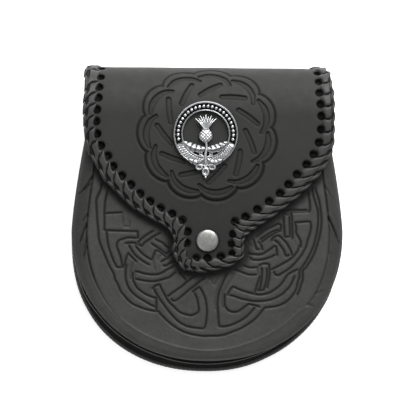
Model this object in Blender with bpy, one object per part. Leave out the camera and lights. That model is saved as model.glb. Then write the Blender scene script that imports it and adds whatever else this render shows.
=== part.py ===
"""Day sporran: a black leather pouch with a laced flap, lying on its back.

One leather sheet makes the back panel, the fold over the top and the flap. A moulded front
panel stands on it as a shallow pan, open at the top. The edge of the sheet is laced all round,
the flap closes on a snap, and a cast badge is riveted to it. Two belt loops are on the back.

Metres, +Z up. X runs to the right across the front, Y up the front, Z out of it. The origin is
on the floor under the middle, and the pouch rests on the flat runs of its belt loops.
"""

import math
from bisect import bisect_right

import bmesh
import bpy
from mathutils import Matrix, Vector
from mathutils.geometry import delaunay_2d_cdt

# ---- Driving sizes ----------------------------------------------------------------------

GAP = 0.0003                     # clear space between two pieces that touch

SHEET_THICK = 0.0026             # leather of the back, fold and flap
BACK_MID_Z = 0.0083              # middle of the back panel above the floor
BACK_SIDE = 0.0890               # back panel, half width at its widest
BACK_DROP = 0.0908               # back panel, from there down to its lowest point
WIDEST_Y = -0.0106               # height of the widest line of the body
ROUNDNESS = 2.15                 # superellipse exponent of the lower outline
TAPER = 0.370                    # how fast the sides come in above the widest line
TAPER_POWER = 1.35

FOLD_Y = 0.0913                  # the back panel starts to bend here
FOLD_BACK_RADIUS = 0.0083        # tight bend at the back of the top edge
FOLD_FRONT_REACH = 0.0330        # long curve at the front of it, along Y
FOLD_FRONT_DEPTH = 0.0270        # and along Z
FLAP_SLOPE = math.radians(2.5)   # the flap comes down towards its tip
SHEET_END = 0.240                # how far the profile is worked out past the start of the bend

# Half width of the sheet over the fold, by distance past the start of the bend
FOLD_COLUMNS = ("run", "half_width")
FOLD_WIDTHS = (
    (-0.006, 0.0734),
    (0.004, 0.0748),
    (0.013, 0.0770),
    (0.027, 0.0790),
    (0.042, 0.0804),
    (0.058, 0.0813),
)

# The flap's edge below the fold, right half: corners of its outline, each rounded
FLAP_COLUMNS = ("x", "y", "radius")
FLAP_CORNERS = (
    (0.0814, 0.0634, 0.060),
    (0.0760, 0.0238, 0.043),
    (0.0254, -0.0114, 0.012),
    (0.0185, -0.0388, 0.014),
    (0.0000, -0.0388, 0.000),
)

HOLE_INSET = 0.0076              # lacing holes, from the leather's edge to their middles
HOLE_RADIUS = 0.0022
HOLE_PITCH = 0.0083
HOLE_SIDES = 8
LACE_GAP = 0.0005                # clear space between the leather's edge and the lace round it

PAN_WALL = 0.0022                # leather of the front panel
PAN_UNDER_FLAP = 0.0031          # its face, below the middle of the flap
PAN_TOP_Y = 0.0794               # its mouth
LIP_TOP_Z = 0.0140               # upper face of the lip that is fixed to the back

# Sections of the front panel, from the edge of its flat face out to its lip
PAN_COLUMNS = ("place", "side", "bottom", "drop")
PAN_SECTIONS = (
    ("crease", 0.0802, 0.0789, 0.00),
    ("shoulder", 0.0846, 0.0822, 0.05),
    ("roll", 0.0880, 0.0845, 0.20),
    ("bulge", 0.0900, 0.0857, 0.46),
    ("belly", 0.0885, 0.0856, 0.74),
    ("foot", 0.0838, 0.0848, 1.00),
    ("lip", 0.0852, 0.0862, 1.00),
)

# Pleats pressed into the sides where the panel's leather was gathered
PLEAT_COLUMNS = ("side", "y", "run_down", "depth")
PLEATS = (
    (-1, 0.0264, 0.0070, 0.0009),
    (-1, 0.0174, 0.0070, 0.0008),
    (-1, -0.0056, 0.0100, 0.0012),
    (-1, -0.0176, 0.0090, 0.0012),
    (1, 0.0184, 0.0080, 0.0008),
    (1, -0.0016, 0.0140, 0.0012),
    (1, -0.0256, 0.0050, 0.0008),
)
PLEAT_WIDTH = 0.0030

WELT_SIDE = 0.0857               # leather strip between the lip and the back
WELT_DROP = 0.0872
WELT_WIDTH = 0.0060
WELT_THICK = 0.0016

SNAP_X = -0.0009
SNAP_Y = -0.0172
SNAP_CAP_RADIUS = 0.00715
SNAP_CAP_HEIGHT = 0.0024
SNAP_SHANK_RADIUS = 0.0020
SNAP_WASHER_RADIUS = 0.0060
SNAP_PIN_RADIUS = 0.0021
SNAP_SIDES = 24

BADGE_X = -0.0021
BADGE_Y = 0.0543
BADGE_OUTER = 0.0210             # the ring
BADGE_INNER = 0.0152
BADGE_RISE = 0.0026
BADGE_DROP = 0.0312              # from the ring's middle to the tip of the leaf below it
BADGE_POST_X = 0.0181
BADGE_POST_RADIUS = 0.0009

LOOP_X = 0.0350                  # belt loops, to the middle of each
LOOP_WIDTH = 0.0220
LOOP_THICK = 0.0025
LOOP_TOP_Y = 0.0520
LOOP_BOTTOM_Y = -0.0320
LOOP_END = 0.0120                # length of each stitched end
LOOP_RAMP = 0.0060

LEATHER = (0.020, 0.020, 0.019, 1.0)
LACE = (0.016, 0.016, 0.015, 1.0)
PEWTER = (0.55, 0.56, 0.57, 1.0)
STEEL = (0.33, 0.33, 0.32, 1.0)


# ---- Shared tools -----------------------------------------------------------------------

for old in list(bpy.data.objects):
    bpy.data.objects.remove(old, do_unlink=True)


def between(table, place):
    """The row of a sorted table at a place between its rows, in straight steps."""
    at = min(max(bisect_right([row[0] for row in table], place), 1), len(table) - 1)
    low, high = table[at - 1], table[at]
    share = (place - low[0]) / (high[0] - low[0])
    return [a + share * (b - a) for a, b in zip(low, high)]


def finish(name, colour, roughness, metallic):
    """A material of the piece's own."""
    made = bpy.data.materials.new(name + "_finish")
    made.use_nodes = True
    shader = made.node_tree.nodes["Principled BSDF"]
    shader.inputs["Base Color"].default_value = colour
    shader.inputs["Roughness"].default_value = roughness
    shader.inputs["Metallic"].default_value = metallic
    return made


def piece(name, points, faces, colour=LEATHER, roughness=0.55, metallic=0.0, sharp=40):
    """An object from points and faces, its faces turned outwards."""
    mesh = bpy.data.meshes.new(name)
    mesh.from_pydata([tuple(p) for p in points], [], faces)
    work = bmesh.new()
    work.from_mesh(mesh)
    bmesh.ops.remove_doubles(work, verts=work.verts, dist=1e-6)
    bmesh.ops.recalc_face_normals(work, faces=work.faces)
    work.to_mesh(mesh)
    work.free()
    mesh.materials.append(finish(name, colour, roughness, metallic))
    mesh.shade_smooth()
    mesh.set_sharp_from_angle(angle=math.radians(sharp))
    made = bpy.data.objects.new(name, mesh)
    bpy.context.scene.collection.objects.link(made)
    return made


def tube(rings, closed_ends=True):
    """Points and faces of a skin over rings of equal count, capped at both ends."""
    count = len(rings[0])
    points = [p for ring in rings for p in ring]
    faces = []
    for row in range(len(rings) - 1):
        for col in range(count):
            nxt = (col + 1) % count
            a, b = row * count, (row + 1) * count
            faces.append((a + col, a + nxt, b + nxt, b + col))
    if closed_ends:
        faces.append(tuple(range(count)))
        faces.append(tuple(range(len(points) - count, len(points))))
    return points, faces


# ---- The sheet's side profile -----------------------------------------------------------

def sheet_profile():
    """Rows of run, y, z and outward normal along the middle of the sheet, past FOLD_Y."""
    turns = 48
    rows = [(0.0, FOLD_Y, BACK_MID_Z, 0.0, -1.0)]
    centre_z = BACK_MID_Z + FOLD_BACK_RADIUS
    apex_y = FOLD_Y + FOLD_BACK_RADIUS
    for step in range(1, turns + 1):
        turn = math.pi / 2 * step / turns
        y = FOLD_Y + FOLD_BACK_RADIUS * math.sin(turn)
        z = centre_z - FOLD_BACK_RADIUS * math.cos(turn)
        rows.append((FOLD_BACK_RADIUS * turn, y, z, math.sin(turn), -math.cos(turn)))
    tail = math.atan(math.tan(FLAP_SLOPE) * FOLD_FRONT_REACH / FOLD_FRONT_DEPTH)
    for step in range(1, turns + 1):
        turn = (math.pi / 2 + tail) * step / turns
        y = apex_y - FOLD_FRONT_REACH * (1 - math.cos(turn))
        z = centre_z + FOLD_FRONT_DEPTH * math.sin(turn)
        normal = Vector((math.cos(turn) / FOLD_FRONT_REACH, math.sin(turn) / FOLD_FRONT_DEPTH))
        normal.normalize()
        run = rows[-1][0] + math.hypot(y - rows[-1][1], z - rows[-1][2])
        rows.append((run, y, z, normal.x, normal.y))
    run, y, z, *normal = rows[-1]
    rest = SHEET_END - run
    rows.append((SHEET_END, y - rest * math.cos(FLAP_SLOPE), z - rest * math.sin(FLAP_SLOPE),
                 *normal))
    return rows


PROFILE = sheet_profile()
FLAP_RUN, FLAP_TOP_Y, FLAP_TOP_Z = PROFILE[-2][:3]


def on_sheet(x, run, lift):
    """The point at x and run on the flat pattern, lifted out of the sheet's middle."""
    if run <= 0:
        return Vector((x, FOLD_Y + run, BACK_MID_Z - lift))
    _, y, z, out_y, out_z = between(PROFILE, run)
    return Vector((x, y + lift * out_y, z + lift * out_z))


def flap_run(y):
    """The run at which the flap, below its fold, has this y."""
    return FLAP_RUN + (FLAP_TOP_Y - y) / math.cos(FLAP_SLOPE)


FACE_LINE = sorted((point.y, point.z) for point in
                   (on_sheet(0.0, row[0], -PAN_UNDER_FLAP) for row in PROFILE[60:]))


def face_z(y):
    """Height of the front panel's face: it follows the underside of the flap."""
    return between(FACE_LINE, y)[1]


# ---- Outlines ---------------------------------------------------------------------------

def body_outline(side, bottom, top_y, side_steps, round_steps):
    """The body's plan outline from its top right, down and round to its top left."""
    right = []
    for step in range(side_steps):
        y = top_y + (WIDEST_Y - top_y) * step / side_steps
        right.append((side - TAPER * (y - WIDEST_Y) ** TAPER_POWER, y))
    low = []
    for step in range(round_steps + 1):
        turn = math.pi * step / round_steps
        across, down = math.cos(turn), math.sin(turn)
        x = math.copysign(side * abs(across) ** (2 / ROUNDNESS), across)
        low.append((x, WIDEST_Y - bottom * max(down, 0.0) ** (2 / ROUNDNESS)))
    return right + low + [(-x, y) for x, y in reversed(right)]


def rounded(corners, step_angle=math.radians(12)):
    """An open outline through corners (x, y, radius), each turned on an arc."""
    path = [Vector(corners[0][:2])]
    for before, (x, y, radius), after in zip(corners, corners[1:], corners[2:]):
        here = Vector((x, y))
        back = (Vector(before[:2]) - here).normalized()
        ahead = (Vector(after[:2]) - here).normalized()
        half = back.angle(ahead) / 2
        centre = here + (back + ahead).normalized() * radius / math.sin(half)
        first = here + back * radius / math.tan(half)
        sweep = math.pi - 2 * half
        way = 1 if back.cross(ahead) < 0 else -1
        steps = max(2, round(sweep / step_angle))
        for step in range(steps + 1):
            path.append(centre + Matrix.Rotation(way * sweep * step / steps, 2) @ (first - centre))
    path.append(Vector(corners[-1][:2]))
    return path


def evenly(path, count):
    """count + 1 points spaced evenly along a path, its ends included."""
    runs = [0.0]
    for a, b in zip(path, path[1:]):
        runs.append(runs[-1] + (Vector(b) - Vector(a)).length)
    table = [(run, *p) for run, p in zip(runs, path)]
    return [Vector(between(table, runs[-1] * n / count)[1:]) for n in range(count + 1)]


def inset(path, distance):
    """The path moved to its left by a distance."""
    moved = []
    for n, here in enumerate(path):
        before = path[max(n - 1, 0)]
        after = path[min(n + 1, len(path) - 1)]
        along = (Vector(after) - Vector(before)).normalized()
        moved.append(Vector(here) + Vector((-along.y, along.x)) * distance)
    return moved


def flap_edge():
    """The sheet's edge in the flat pattern, from the bend on the right round to the left."""
    fold = [Vector((width, run)) for run, width in FOLD_WIDTHS]
    lower = [Vector((x, flap_run(y))) for x, y in rounded(
        [(FOLD_WIDTHS[-1][1], PROFILE[-2][1], 0.0)] + list(FLAP_CORNERS))]
    right = fold + lower[1:]
    return right + [Vector((-x, run)) for x, run in reversed(right[:-1])]


def back_edge(side_steps, round_steps):
    """The back panel's edge in the flat pattern, from its top left down and round."""
    top = FOLD_Y + FOLD_WIDTHS[0][0]
    body = body_outline(BACK_SIDE, BACK_DROP, top, side_steps, round_steps)
    return [Vector((x, y - FOLD_Y)) for x, y in reversed(body)]


FLAP_EDGE = flap_edge()
HOLE_ROW = inset(evenly(FLAP_EDGE, 300), HOLE_INSET)
STITCHES = round(sum((b - a).length for a, b in zip(HOLE_ROW, HOLE_ROW[1:])) / HOLE_PITCH)
LACED_EDGE = evenly(FLAP_EDGE, 2 * STITCHES)


# ---- Back, fold and flap: one sheet -----------------------------------------------------

def inside(point, loop):
    """Whether a point of the flat pattern lies inside a closed loop."""
    x, y = point
    odd = False
    for (ax, ay), (bx, by) in zip(loop, loop[1:] + loop[:1]):
        if (ay > y) != (by > y) and x < ax + (bx - ax) * (y - ay) / (by - ay):
            odd = not odd
    return odd


def circle(centre, radius, sides):
    return [(centre[0] + radius * math.cos(math.tau * n / sides),
             centre[1] + radius * math.sin(math.tau * n / sides)) for n in range(sides)]


def make_back_and_flap():
    """Cut from one hide in the flat, pierced for the lacing, then folded over the top."""
    edge = [tuple(p) for p in LACED_EDGE + back_edge(16, 34)[1:-1]]
    holes = [circle(p, HOLE_RADIUS, HOLE_SIDES) for p in evenly(HOLE_ROW, 2 * STITCHES)[1::2]]
    holes.append(circle((SNAP_X, flap_run(SNAP_Y)), SNAP_SHANK_RADIUS + GAP, 12))
    for side in (-1, 1):
        place = (BADGE_X + side * BADGE_POST_X, flap_run(BADGE_Y))
        holes.append(circle(place, BADGE_POST_RADIUS + GAP, 8))
    spots = []
    folded = [p.y for p in LACED_EDGE[:STITCHES] if p.y < FLAP_RUN + 0.006]
    for run in folded + [-0.17, -0.13, -0.09, -0.05, 0.09, 0.12]:
        for column in range(-3, 4):
            spot = (column * 0.0205, run)
            near = min(math.dist(spot, p) for loop in holes for p in loop)
            if inside(spot, edge) and near > 0.004:
                spots.append(spot)
    loops = [edge] + holes
    flat, rims = [], []
    for loop in loops:
        start = len(flat)
        flat += loop
        rims += [(start + n, start + (n + 1) % len(loop)) for n in range(len(loop))]
    flat = [Vector(p) for p in flat + spots]
    flat, _, triangles, *_ = delaunay_2d_cdt(flat, rims, [], 0, 1e-7)
    kept = []
    for triangle in triangles:
        middle = sum((flat[n] for n in triangle), Vector((0, 0))) / 3
        if inside(middle, edge) and not any(inside(middle, hole) for hole in holes):
            kept.append(tuple(triangle))
    count = len(flat)
    points = [on_sheet(p.x, p.y, SHEET_THICK / 2) for p in flat]
    points += [on_sheet(p.x, p.y, -SHEET_THICK / 2) for p in flat]
    faces = kept + [tuple(n + count for n in reversed(t)) for t in kept]
    for a, b in rims:
        faces.append((a, b, b + count, a + count))
    return piece("back_and_flap", points, faces)


# ---- Front panel ------------------------------------------------------------------------

def pleat(x, y, reach):
    """How far the pleats press the side in, at a share of the way from crease to lip."""
    pressed = 0.0
    for side, top, run_down, depth in PLEATS:
        if side * x > 0:
            away = (y - top + run_down * reach) / PLEAT_WIDTH
            pressed += depth * math.exp(-away * away) * math.sin(math.pi * reach)
    return pressed


def make_front_panel():
    """Moulded wet over a block: a flat face, a rolled border, bulging sides and a lip."""
    steps = (24, 32)
    spine_share = 0.45
    crease = body_outline(*PAN_SECTIONS[0][1:3], PAN_TOP_Y, *steps)
    rows = []
    for reach in (0.0, 0.5):
        row = []
        for x, y in crease:
            spine_y = y if y > WIDEST_Y else WIDEST_Y + spine_share * (y - WIDEST_Y)
            across, up = x * reach, spine_y + (y - spine_y) * reach
            row.append(Vector((across, up, face_z(up))))
        rows.append(row)
    for number, (_, side, bottom, drop) in enumerate(PAN_SECTIONS):
        row = []
        reach = number / (len(PAN_SECTIONS) - 1)
        outline = body_outline(side, bottom, PAN_TOP_Y, *steps)
        for (x, y), (_, crease_y) in zip(outline, crease):
            high = face_z(crease_y)
            press = math.copysign(pleat(x, y, reach), x)
            row.append(Vector((x - press, y, high + drop * (LIP_TOP_Z - high))))
        rows.append(row)
    count = len(crease)
    points = [p for row in rows for p in row]
    faces = []
    for n in range(len(rows) - 1):
        for col in range(count - 1):
            a, b = n * count + col, (n + 1) * count + col
            faces.append((a, a + 1, b + 1, b))
    panel = piece("front_panel", points, faces)
    if panel.data.polygons[0].normal.z < 0:
        panel.data.flip_normals()
    wall = panel.modifiers.new("wall", "SOLIDIFY")
    wall.thickness = PAN_WALL
    wall.offset = -1.0
    wall.use_even_offset = True

    bpy.ops.mesh.primitive_cylinder_add(
        vertices=16, radius=SNAP_PIN_RADIUS + GAP, depth=0.012,
        location=(SNAP_X, SNAP_Y, face_z(SNAP_Y)), rotation=(FLAP_SLOPE, 0, 0))
    cutter = bpy.context.object
    cutter.name = "stud_hole_cutter"
    cutter.hide_render = True
    cutter.display_type = "WIRE"
    hole = panel.modifiers.new("stud_hole", "BOOLEAN")
    hole.operation = "DIFFERENCE"
    hole.object = cutter
    return panel


def make_edge_welt():
    """A strip of leather under the lip, its rounded edge showing as a thin line outside it."""
    low = BACK_MID_Z + SHEET_THICK / 2 + GAP
    steps = (12, 40)
    outer = body_outline(WELT_SIDE, WELT_DROP, PAN_TOP_Y, *steps)
    inner = body_outline(WELT_SIDE - WELT_WIDTH, WELT_DROP - WELT_WIDTH, PAN_TOP_Y, *steps)
    rounding = WELT_THICK * 0.3
    rings = []
    for (ox, oy), (ix, iy) in zip(outer, inner):
        out = Vector((ox - ix, oy - iy)).normalized() * rounding
        rings.append([
            Vector((ix, iy, low)),
            Vector((ox - out.x, oy - out.y, low)),
            Vector((ox, oy, low + WELT_THICK / 2)),
            Vector((ox - out.x, oy - out.y, low + WELT_THICK)),
            Vector((ix, iy, low + WELT_THICK)),
        ])
    return piece("edge_welt", *tube(rings))


# ---- Lacing -----------------------------------------------------------------------------

def lacing_band(name, places, section, thin_share):
    """A band of plaited lace round an edge: a C-shaped section, full at every second place.

    The section holds depth inwards from the leather's edge and lift out of its middle."""
    edge_lift = SHEET_THICK / 2 + LACE_GAP
    rings = []
    for n, here in enumerate(places):
        before, after = places[max(n - 1, 0)], places[min(n + 1, len(places) - 1)]
        along = (after - before).normalized()
        inward = Vector((-along.y, along.x))
        full = 1.0 if n % 2 else thin_share
        ring = []
        for depth, lift in section:
            if abs(lift) > edge_lift:
                lift = math.copysign(edge_lift + (abs(lift) - edge_lift) * full, lift)
            if depth < -LACE_GAP:
                depth = depth * (0.5 + full / 2)
            spot = here + inward * depth
            ring.append(on_sheet(spot.x, spot.y, lift))
        rings.append(ring)
    return piece(name, *tube(rings), colour=LACE, roughness=0.45)


def make_flap_lacing():
    """Flat lace through every hole, each turn plaited over the last along the edge."""
    leg = HOLE_INSET - HOLE_RADIUS - GAP
    near, under = SHEET_THICK / 2 + LACE_GAP, -SHEET_THICK / 2 - LACE_GAP
    section = ((leg, near), (leg, near + 0.0010), (0.0010, near + 0.0020), (-0.0020, 0.0012),
               (-0.0020, -0.0012), (0.0, under - 0.0010), (leg, under - 0.0008), (leg, under),
               (-LACE_GAP, under), (-LACE_GAP, near))
    return lacing_band("flap_lacing", LACED_EDGE, section, 0.45)


def make_body_lacing():
    """The same lace carried on round the back panel's edge, outside the front panel."""
    leg = 0.0029
    near, under = SHEET_THICK / 2 + LACE_GAP, -SHEET_THICK / 2 - LACE_GAP
    section = ((leg, near), (leg, near + 0.0008), (0.0003, near + 0.0010), (-0.0016, 0.0012),
               (-0.0016, -0.0012), (0.0003, under - 0.0010), (leg, under - 0.0008), (leg, under),
               (-LACE_GAP, under), (-LACE_GAP, near))
    path = evenly(back_edge(20, 60), 72)
    path[0].y -= 2 * GAP
    path[-1].y -= 2 * GAP
    return lacing_band("body_lacing", path, section, 0.6)


# ---- Snap -------------------------------------------------------------------------------

def turned(name, outline, centre, sides, colour, roughness, metallic):
    """A closed profile of radius and height turned round an axis square to the flap."""
    rings = []
    for radius, height in outline:
        rings.append([Vector((radius * math.cos(math.tau * n / sides),
                              radius * math.sin(math.tau * n / sides), height))
                      for n in range(sides)])
    made = piece(name, *tube(rings), colour, roughness, metallic)
    made.location = centre
    made.rotation_euler = (FLAP_SLOPE, 0, 0)
    return made


def make_snap():
    """A domed cap riveted through the flap to a washer, which presses onto a stud."""
    top = SHEET_THICK / 2 + GAP
    low = -SHEET_THICK / 2 - GAP
    washer = 0.0011
    bore = SNAP_PIN_RADIUS + 0.0004
    dome = [(SNAP_CAP_RADIUS * share, top + SNAP_CAP_HEIGHT * rise) for share, rise in
            ((0.18, 1.0), (0.55, 0.93), (0.82, 0.72), (0.96, 0.42), (1.0, 0.15), (0.96, 0.0))]
    cap = dome + [(SNAP_SHANK_RADIUS, top), (SNAP_SHANK_RADIUS, low), (SNAP_WASHER_RADIUS, low),
                  (SNAP_WASHER_RADIUS, low - washer), (bore, low - washer), (bore, low - 0.0003)]
    centre = on_sheet(SNAP_X, flap_run(SNAP_Y), 0.0)
    turned("snap_cap", cap, centre, SNAP_SIDES, STEEL, 0.38, 1.0)

    head = low - 0.0003 - GAP
    inner_face = -PAN_UNDER_FLAP - PAN_WALL - GAP
    stud = [(SNAP_PIN_RADIUS * 0.7, head), (SNAP_PIN_RADIUS, head - 0.0003),
            (SNAP_PIN_RADIUS, inner_face), (SNAP_PIN_RADIUS * 2.2, inner_face),
            (SNAP_PIN_RADIUS * 2.2, inner_face - 0.0009)]
    turned("snap_stud", stud, centre, 16, STEEL, 0.4, 1.0)


# ---- Badge ------------------------------------------------------------------------------

def make_badge():
    """Cast in one: a rimmed ring, a thistle standing in it and a three-lobed leaf below."""
    base = SHEET_THICK / 2 + GAP
    parts = []

    rim = 0.0010
    wide = BADGE_OUTER - BADGE_INNER
    section = (
        (BADGE_INNER, base), (BADGE_INNER, base + BADGE_RISE - 0.0004),
        (BADGE_INNER + rim / 2, base + BADGE_RISE), (BADGE_INNER + rim, base + BADGE_RISE * 0.6),
        (BADGE_OUTER - rim, base + BADGE_RISE * 0.6), (BADGE_OUTER - rim / 2, base + BADGE_RISE),
        (BADGE_OUTER, base + BADGE_RISE - 0.0004), (BADGE_OUTER, base),
    )
    around = 32
    rings = [[Vector((r * math.cos(math.tau * n / around), r * math.sin(math.tau * n / around), h))
              for r, h in section] for n in range(around)]
    points, faces = tube(rings + rings[:1], closed_ends=False)
    parts.append(piece("badge", points, faces, PEWTER, 0.35, 1.0))

    def lump(x, y, across, up, high, turn=0.0, sides=10):
        """A flattened round boss, sunk to the base of the ring."""
        rows = [(1.0, 0.0), (0.98, 0.35), (0.80, 0.75), (0.45, 0.97)]
        spin = Matrix.Rotation(turn, 2)
        rings = []
        for share, rise in rows:
            ring = []
            for n in range(sides):
                a = math.tau * n / sides
                flat = spin @ Vector((across * share * math.cos(a), up * share * math.sin(a)))
                ring.append(Vector((x + flat.x, y + flat.y, base + high * rise)))
            rings.append(ring)
        parts.append(piece("badge_lump", *tube(rings)))

    lump(0.0, -0.0016, 0.0052, 0.0050, 0.0034)                      # the thistle's bulb
    for turn in (-32, 0, 32):                                       # its tuft
        a = math.radians(turn)
        lump(0.0078 * math.sin(a), 0.0072 * math.cos(a), 0.0022, 0.0062, 0.0027, -a, 8)
    lump(0.0, -0.0145, 0.0012, 0.0110, 0.0028, 0.0, 8)              # its stem
    for side in (-1, 1):                                            # two leaves in the ring
        lump(side * 0.0088, -0.0088, 0.0088, 0.0026, 0.0022, side * math.radians(-12), 10)
    lump(0.0, -BADGE_DROP + 0.0052, 0.0036, 0.0052, 0.0026)         # the leaf below it
    for side in (-1, 1):
        lump(side * 0.0056, -0.0222, 0.0046, 0.0032, 0.0024, side * math.radians(24))
        post = (side * BADGE_POST_X, 0.0)
        low = -SHEET_THICK / 2 - GAP
        rings = []
        for radius, height in ((BADGE_POST_RADIUS, base + 0.0005), (BADGE_POST_RADIUS, low),
                               (0.0022, low), (0.0022, low - 0.0007)):
            rings.append([Vector((*p, height)) for p in circle(post, radius, 8)])
        parts.append(piece("badge_post", *tube(rings)))

    badge = parts[0]
    for other in parts[1:]:
        other.hide_render = True
        other.display_type = "WIRE"
        join = badge.modifiers.new(other.name, "BOOLEAN")
        join.operation = "UNION"
        join.object = other
        other.parent = badge
    badge.location = on_sheet(BADGE_X, flap_run(BADGE_Y), 0.0)
    badge.rotation_euler = (FLAP_SLOPE, 0, 0)
    return badge


# ---- Belt loops -------------------------------------------------------------------------

def make_belt_loop(name, x):
    """A strip sewn flat to the back at both ends and standing off it between them."""
    seat = BACK_MID_Z - SHEET_THICK / 2 - GAP
    stand_off = seat - LOOP_THICK
    half = LOOP_WIDTH / 2
    route = (
        (LOOP_TOP_Y, seat), (LOOP_TOP_Y - LOOP_END, seat),
        (LOOP_TOP_Y - LOOP_END - LOOP_RAMP, seat - stand_off),
        (LOOP_BOTTOM_Y + LOOP_END + LOOP_RAMP, seat - stand_off),
        (LOOP_BOTTOM_Y + LOOP_END, seat), (LOOP_BOTTOM_Y, seat),
    )
    rings = [[Vector((x - half, y, z)), Vector((x + half, y, z)),
              Vector((x + half, y, z - LOOP_THICK)), Vector((x - half, y, z - LOOP_THICK))]
             for y, z in route]
    strap = piece(name, *tube(rings), sharp=60)
    soften = strap.modifiers.new("soften", "BEVEL")
    soften.width = 0.0005
    soften.segments = 1
    soften.limit_method = "ANGLE"
    soften.angle_limit = math.radians(60)
    return strap


make_back_and_flap()
make_front_panel()
make_edge_welt()
make_flap_lacing()
make_body_lacing()
make_snap()
make_badge()
make_belt_loop("belt_loop_left", -LOOP_X)
make_belt_loop("belt_loop_right", LOOP_X)
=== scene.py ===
import math

import bmesh
import bpy
import numpy as np
from mathutils import Matrix, Vector, kdtree, noise
from mathutils.geometry import delaunay_2d_cdt


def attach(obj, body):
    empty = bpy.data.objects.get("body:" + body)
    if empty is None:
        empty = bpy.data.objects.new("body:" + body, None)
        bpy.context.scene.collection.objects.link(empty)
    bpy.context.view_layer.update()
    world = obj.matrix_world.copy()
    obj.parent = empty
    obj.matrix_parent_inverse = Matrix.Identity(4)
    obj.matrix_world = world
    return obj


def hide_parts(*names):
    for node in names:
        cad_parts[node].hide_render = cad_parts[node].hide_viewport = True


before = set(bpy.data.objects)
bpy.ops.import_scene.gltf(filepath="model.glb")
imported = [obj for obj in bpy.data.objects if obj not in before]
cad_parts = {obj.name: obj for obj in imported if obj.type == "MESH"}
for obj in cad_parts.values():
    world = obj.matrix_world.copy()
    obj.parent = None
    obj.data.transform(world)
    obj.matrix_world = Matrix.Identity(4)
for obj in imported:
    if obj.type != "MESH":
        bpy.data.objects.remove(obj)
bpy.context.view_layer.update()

# ---- Viewpoint --------------------------------------------------------------------------
# The pouch lies on its back on a pale table and is seen from above, from a little to its left
# and a little below its middle, through a long lens. The pressed knotwork further down is
# charted in the picture's own pixels, so the viewpoint comes first.

MM = 0.001
PICTURE_SIDE = 416
PIXEL = 0.66 * MM                      # width of a pixel at the pouch's face
VIEW_DISTANCE = 1.300                  # metres
VIEW_FROM_LEFT = math.radians(3.5)
VIEW_FROM_BELOW = math.radians(4.5)
AIM = np.array((0.0, -0.0026, 0.036))  # the point that is seen at AIM_PIXEL
AIM_PIXEL = np.array((208.2, 219.0))
FILM_WIDTH = 36.0

to_camera = np.array((-math.sin(VIEW_FROM_LEFT) * math.cos(VIEW_FROM_BELOW), -math.sin(VIEW_FROM_BELOW),
                      math.cos(VIEW_FROM_LEFT) * math.cos(VIEW_FROM_BELOW)))
to_right = np.cross((0, 1, 0), to_camera)
to_right /= np.linalg.norm(to_right)
to_top = np.cross(to_camera, to_right)
eye = AIM + to_camera * VIEW_DISTANCE

lens = bpy.data.cameras.new("view")
lens.sensor_width = FILM_WIDTH
lens.lens = FILM_WIDTH * VIEW_DISTANCE / (PICTURE_SIDE * PIXEL)
lens.shift_x = (PICTURE_SIDE / 2 - AIM_PIXEL[0]) / PICTURE_SIDE
lens.shift_y = (AIM_PIXEL[1] - PICTURE_SIDE / 2) / PICTURE_SIDE
lens.clip_start = 0.05
lens.clip_end = 20.0
view = bpy.data.objects.new("view", lens)
turn = Matrix((to_right, to_top, to_camera)).transposed().to_4x4()
view.matrix_world = Matrix.Translation(eye) @ turn
bpy.context.scene.collection.objects.link(view)
bpy.context.scene.camera = view


def charted(pixels, height_at):
    """Points of a surface, given by its height at y, that are seen at the picture's pixels."""
    away = (np.array(pixels, float) - AIM_PIXEL) * PIXEL
    ray = -to_camera * VIEW_DISTANCE + np.outer(away[:, 0], to_right) - np.outer(away[:, 1], to_top)
    height = np.full(len(ray), AIM[2])
    for _ in range(4):
        spot = eye + ray * ((height - eye[2]) / ray[:, 2])[:, None]
        height = height_at(spot[:, 1])
    return spot


# ---- Back, fold and flap ----------------------------------------------------------------
# One sheet of black leather, 2.6 mm thick: the back panel, the fold over the top and the flap
# with its tongue. It is cut in the flat, pierced along the flap's edge for the lacing, pressed
# with a ring of eleven interlaced strands, and folded over.

SHEET_THICK = 2.6 * MM
BACK_MID_Z = 8.3 * MM                  # middle of the back panel above the floor
FOLD_Y = 91.3 * MM                     # the back panel starts to bend here
FOLD_BACK_RADIUS = 8.3 * MM
FOLD_FRONT_REACH = 33.0 * MM
FOLD_FRONT_DEPTH = 27.0 * MM
FLAP_SLOPE = math.radians(2.5)
SHEET_END = 0.240                      # run past FOLD_Y, in metres, and likewise down the back
BACK_END = -0.25
GAP = 0.3 * MM


def sheet_profile(turns=120):
    """Rows of run past FOLD_Y, y, z and outward normal along the middle of the sheet."""
    rows = [(BACK_END, FOLD_Y + BACK_END, BACK_MID_Z, 0.0, -1.0), (0.0, FOLD_Y, BACK_MID_Z, 0.0, -1.0)]
    centre_z = BACK_MID_Z + FOLD_BACK_RADIUS
    apex_y = FOLD_Y + FOLD_BACK_RADIUS
    for step in range(1, turns + 1):
        bend = math.pi / 2 * step / turns
        rows.append((FOLD_BACK_RADIUS * bend, FOLD_Y + FOLD_BACK_RADIUS * math.sin(bend),
                     centre_z - FOLD_BACK_RADIUS * math.cos(bend), math.sin(bend), -math.cos(bend)))
    tail = math.atan(math.tan(FLAP_SLOPE) * FOLD_FRONT_REACH / FOLD_FRONT_DEPTH)
    for step in range(1, turns + 1):
        bend = (math.pi / 2 + tail) * step / turns
        y = apex_y - FOLD_FRONT_REACH * (1 - math.cos(bend))
        z = centre_z + FOLD_FRONT_DEPTH * math.sin(bend)
        out = Vector((math.cos(bend) / FOLD_FRONT_REACH, math.sin(bend) / FOLD_FRONT_DEPTH))
        out.normalize()
        run = rows[-1][0] + math.hypot(y - rows[-1][1], z - rows[-1][2])
        rows.append((run, y, z, *out))
    run, y, z, *out = rows[-1]
    rest = SHEET_END - run
    rows.append((SHEET_END, y - rest * math.cos(FLAP_SLOPE), z - rest * math.sin(FLAP_SLOPE), *out))
    return np.array(rows)


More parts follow.
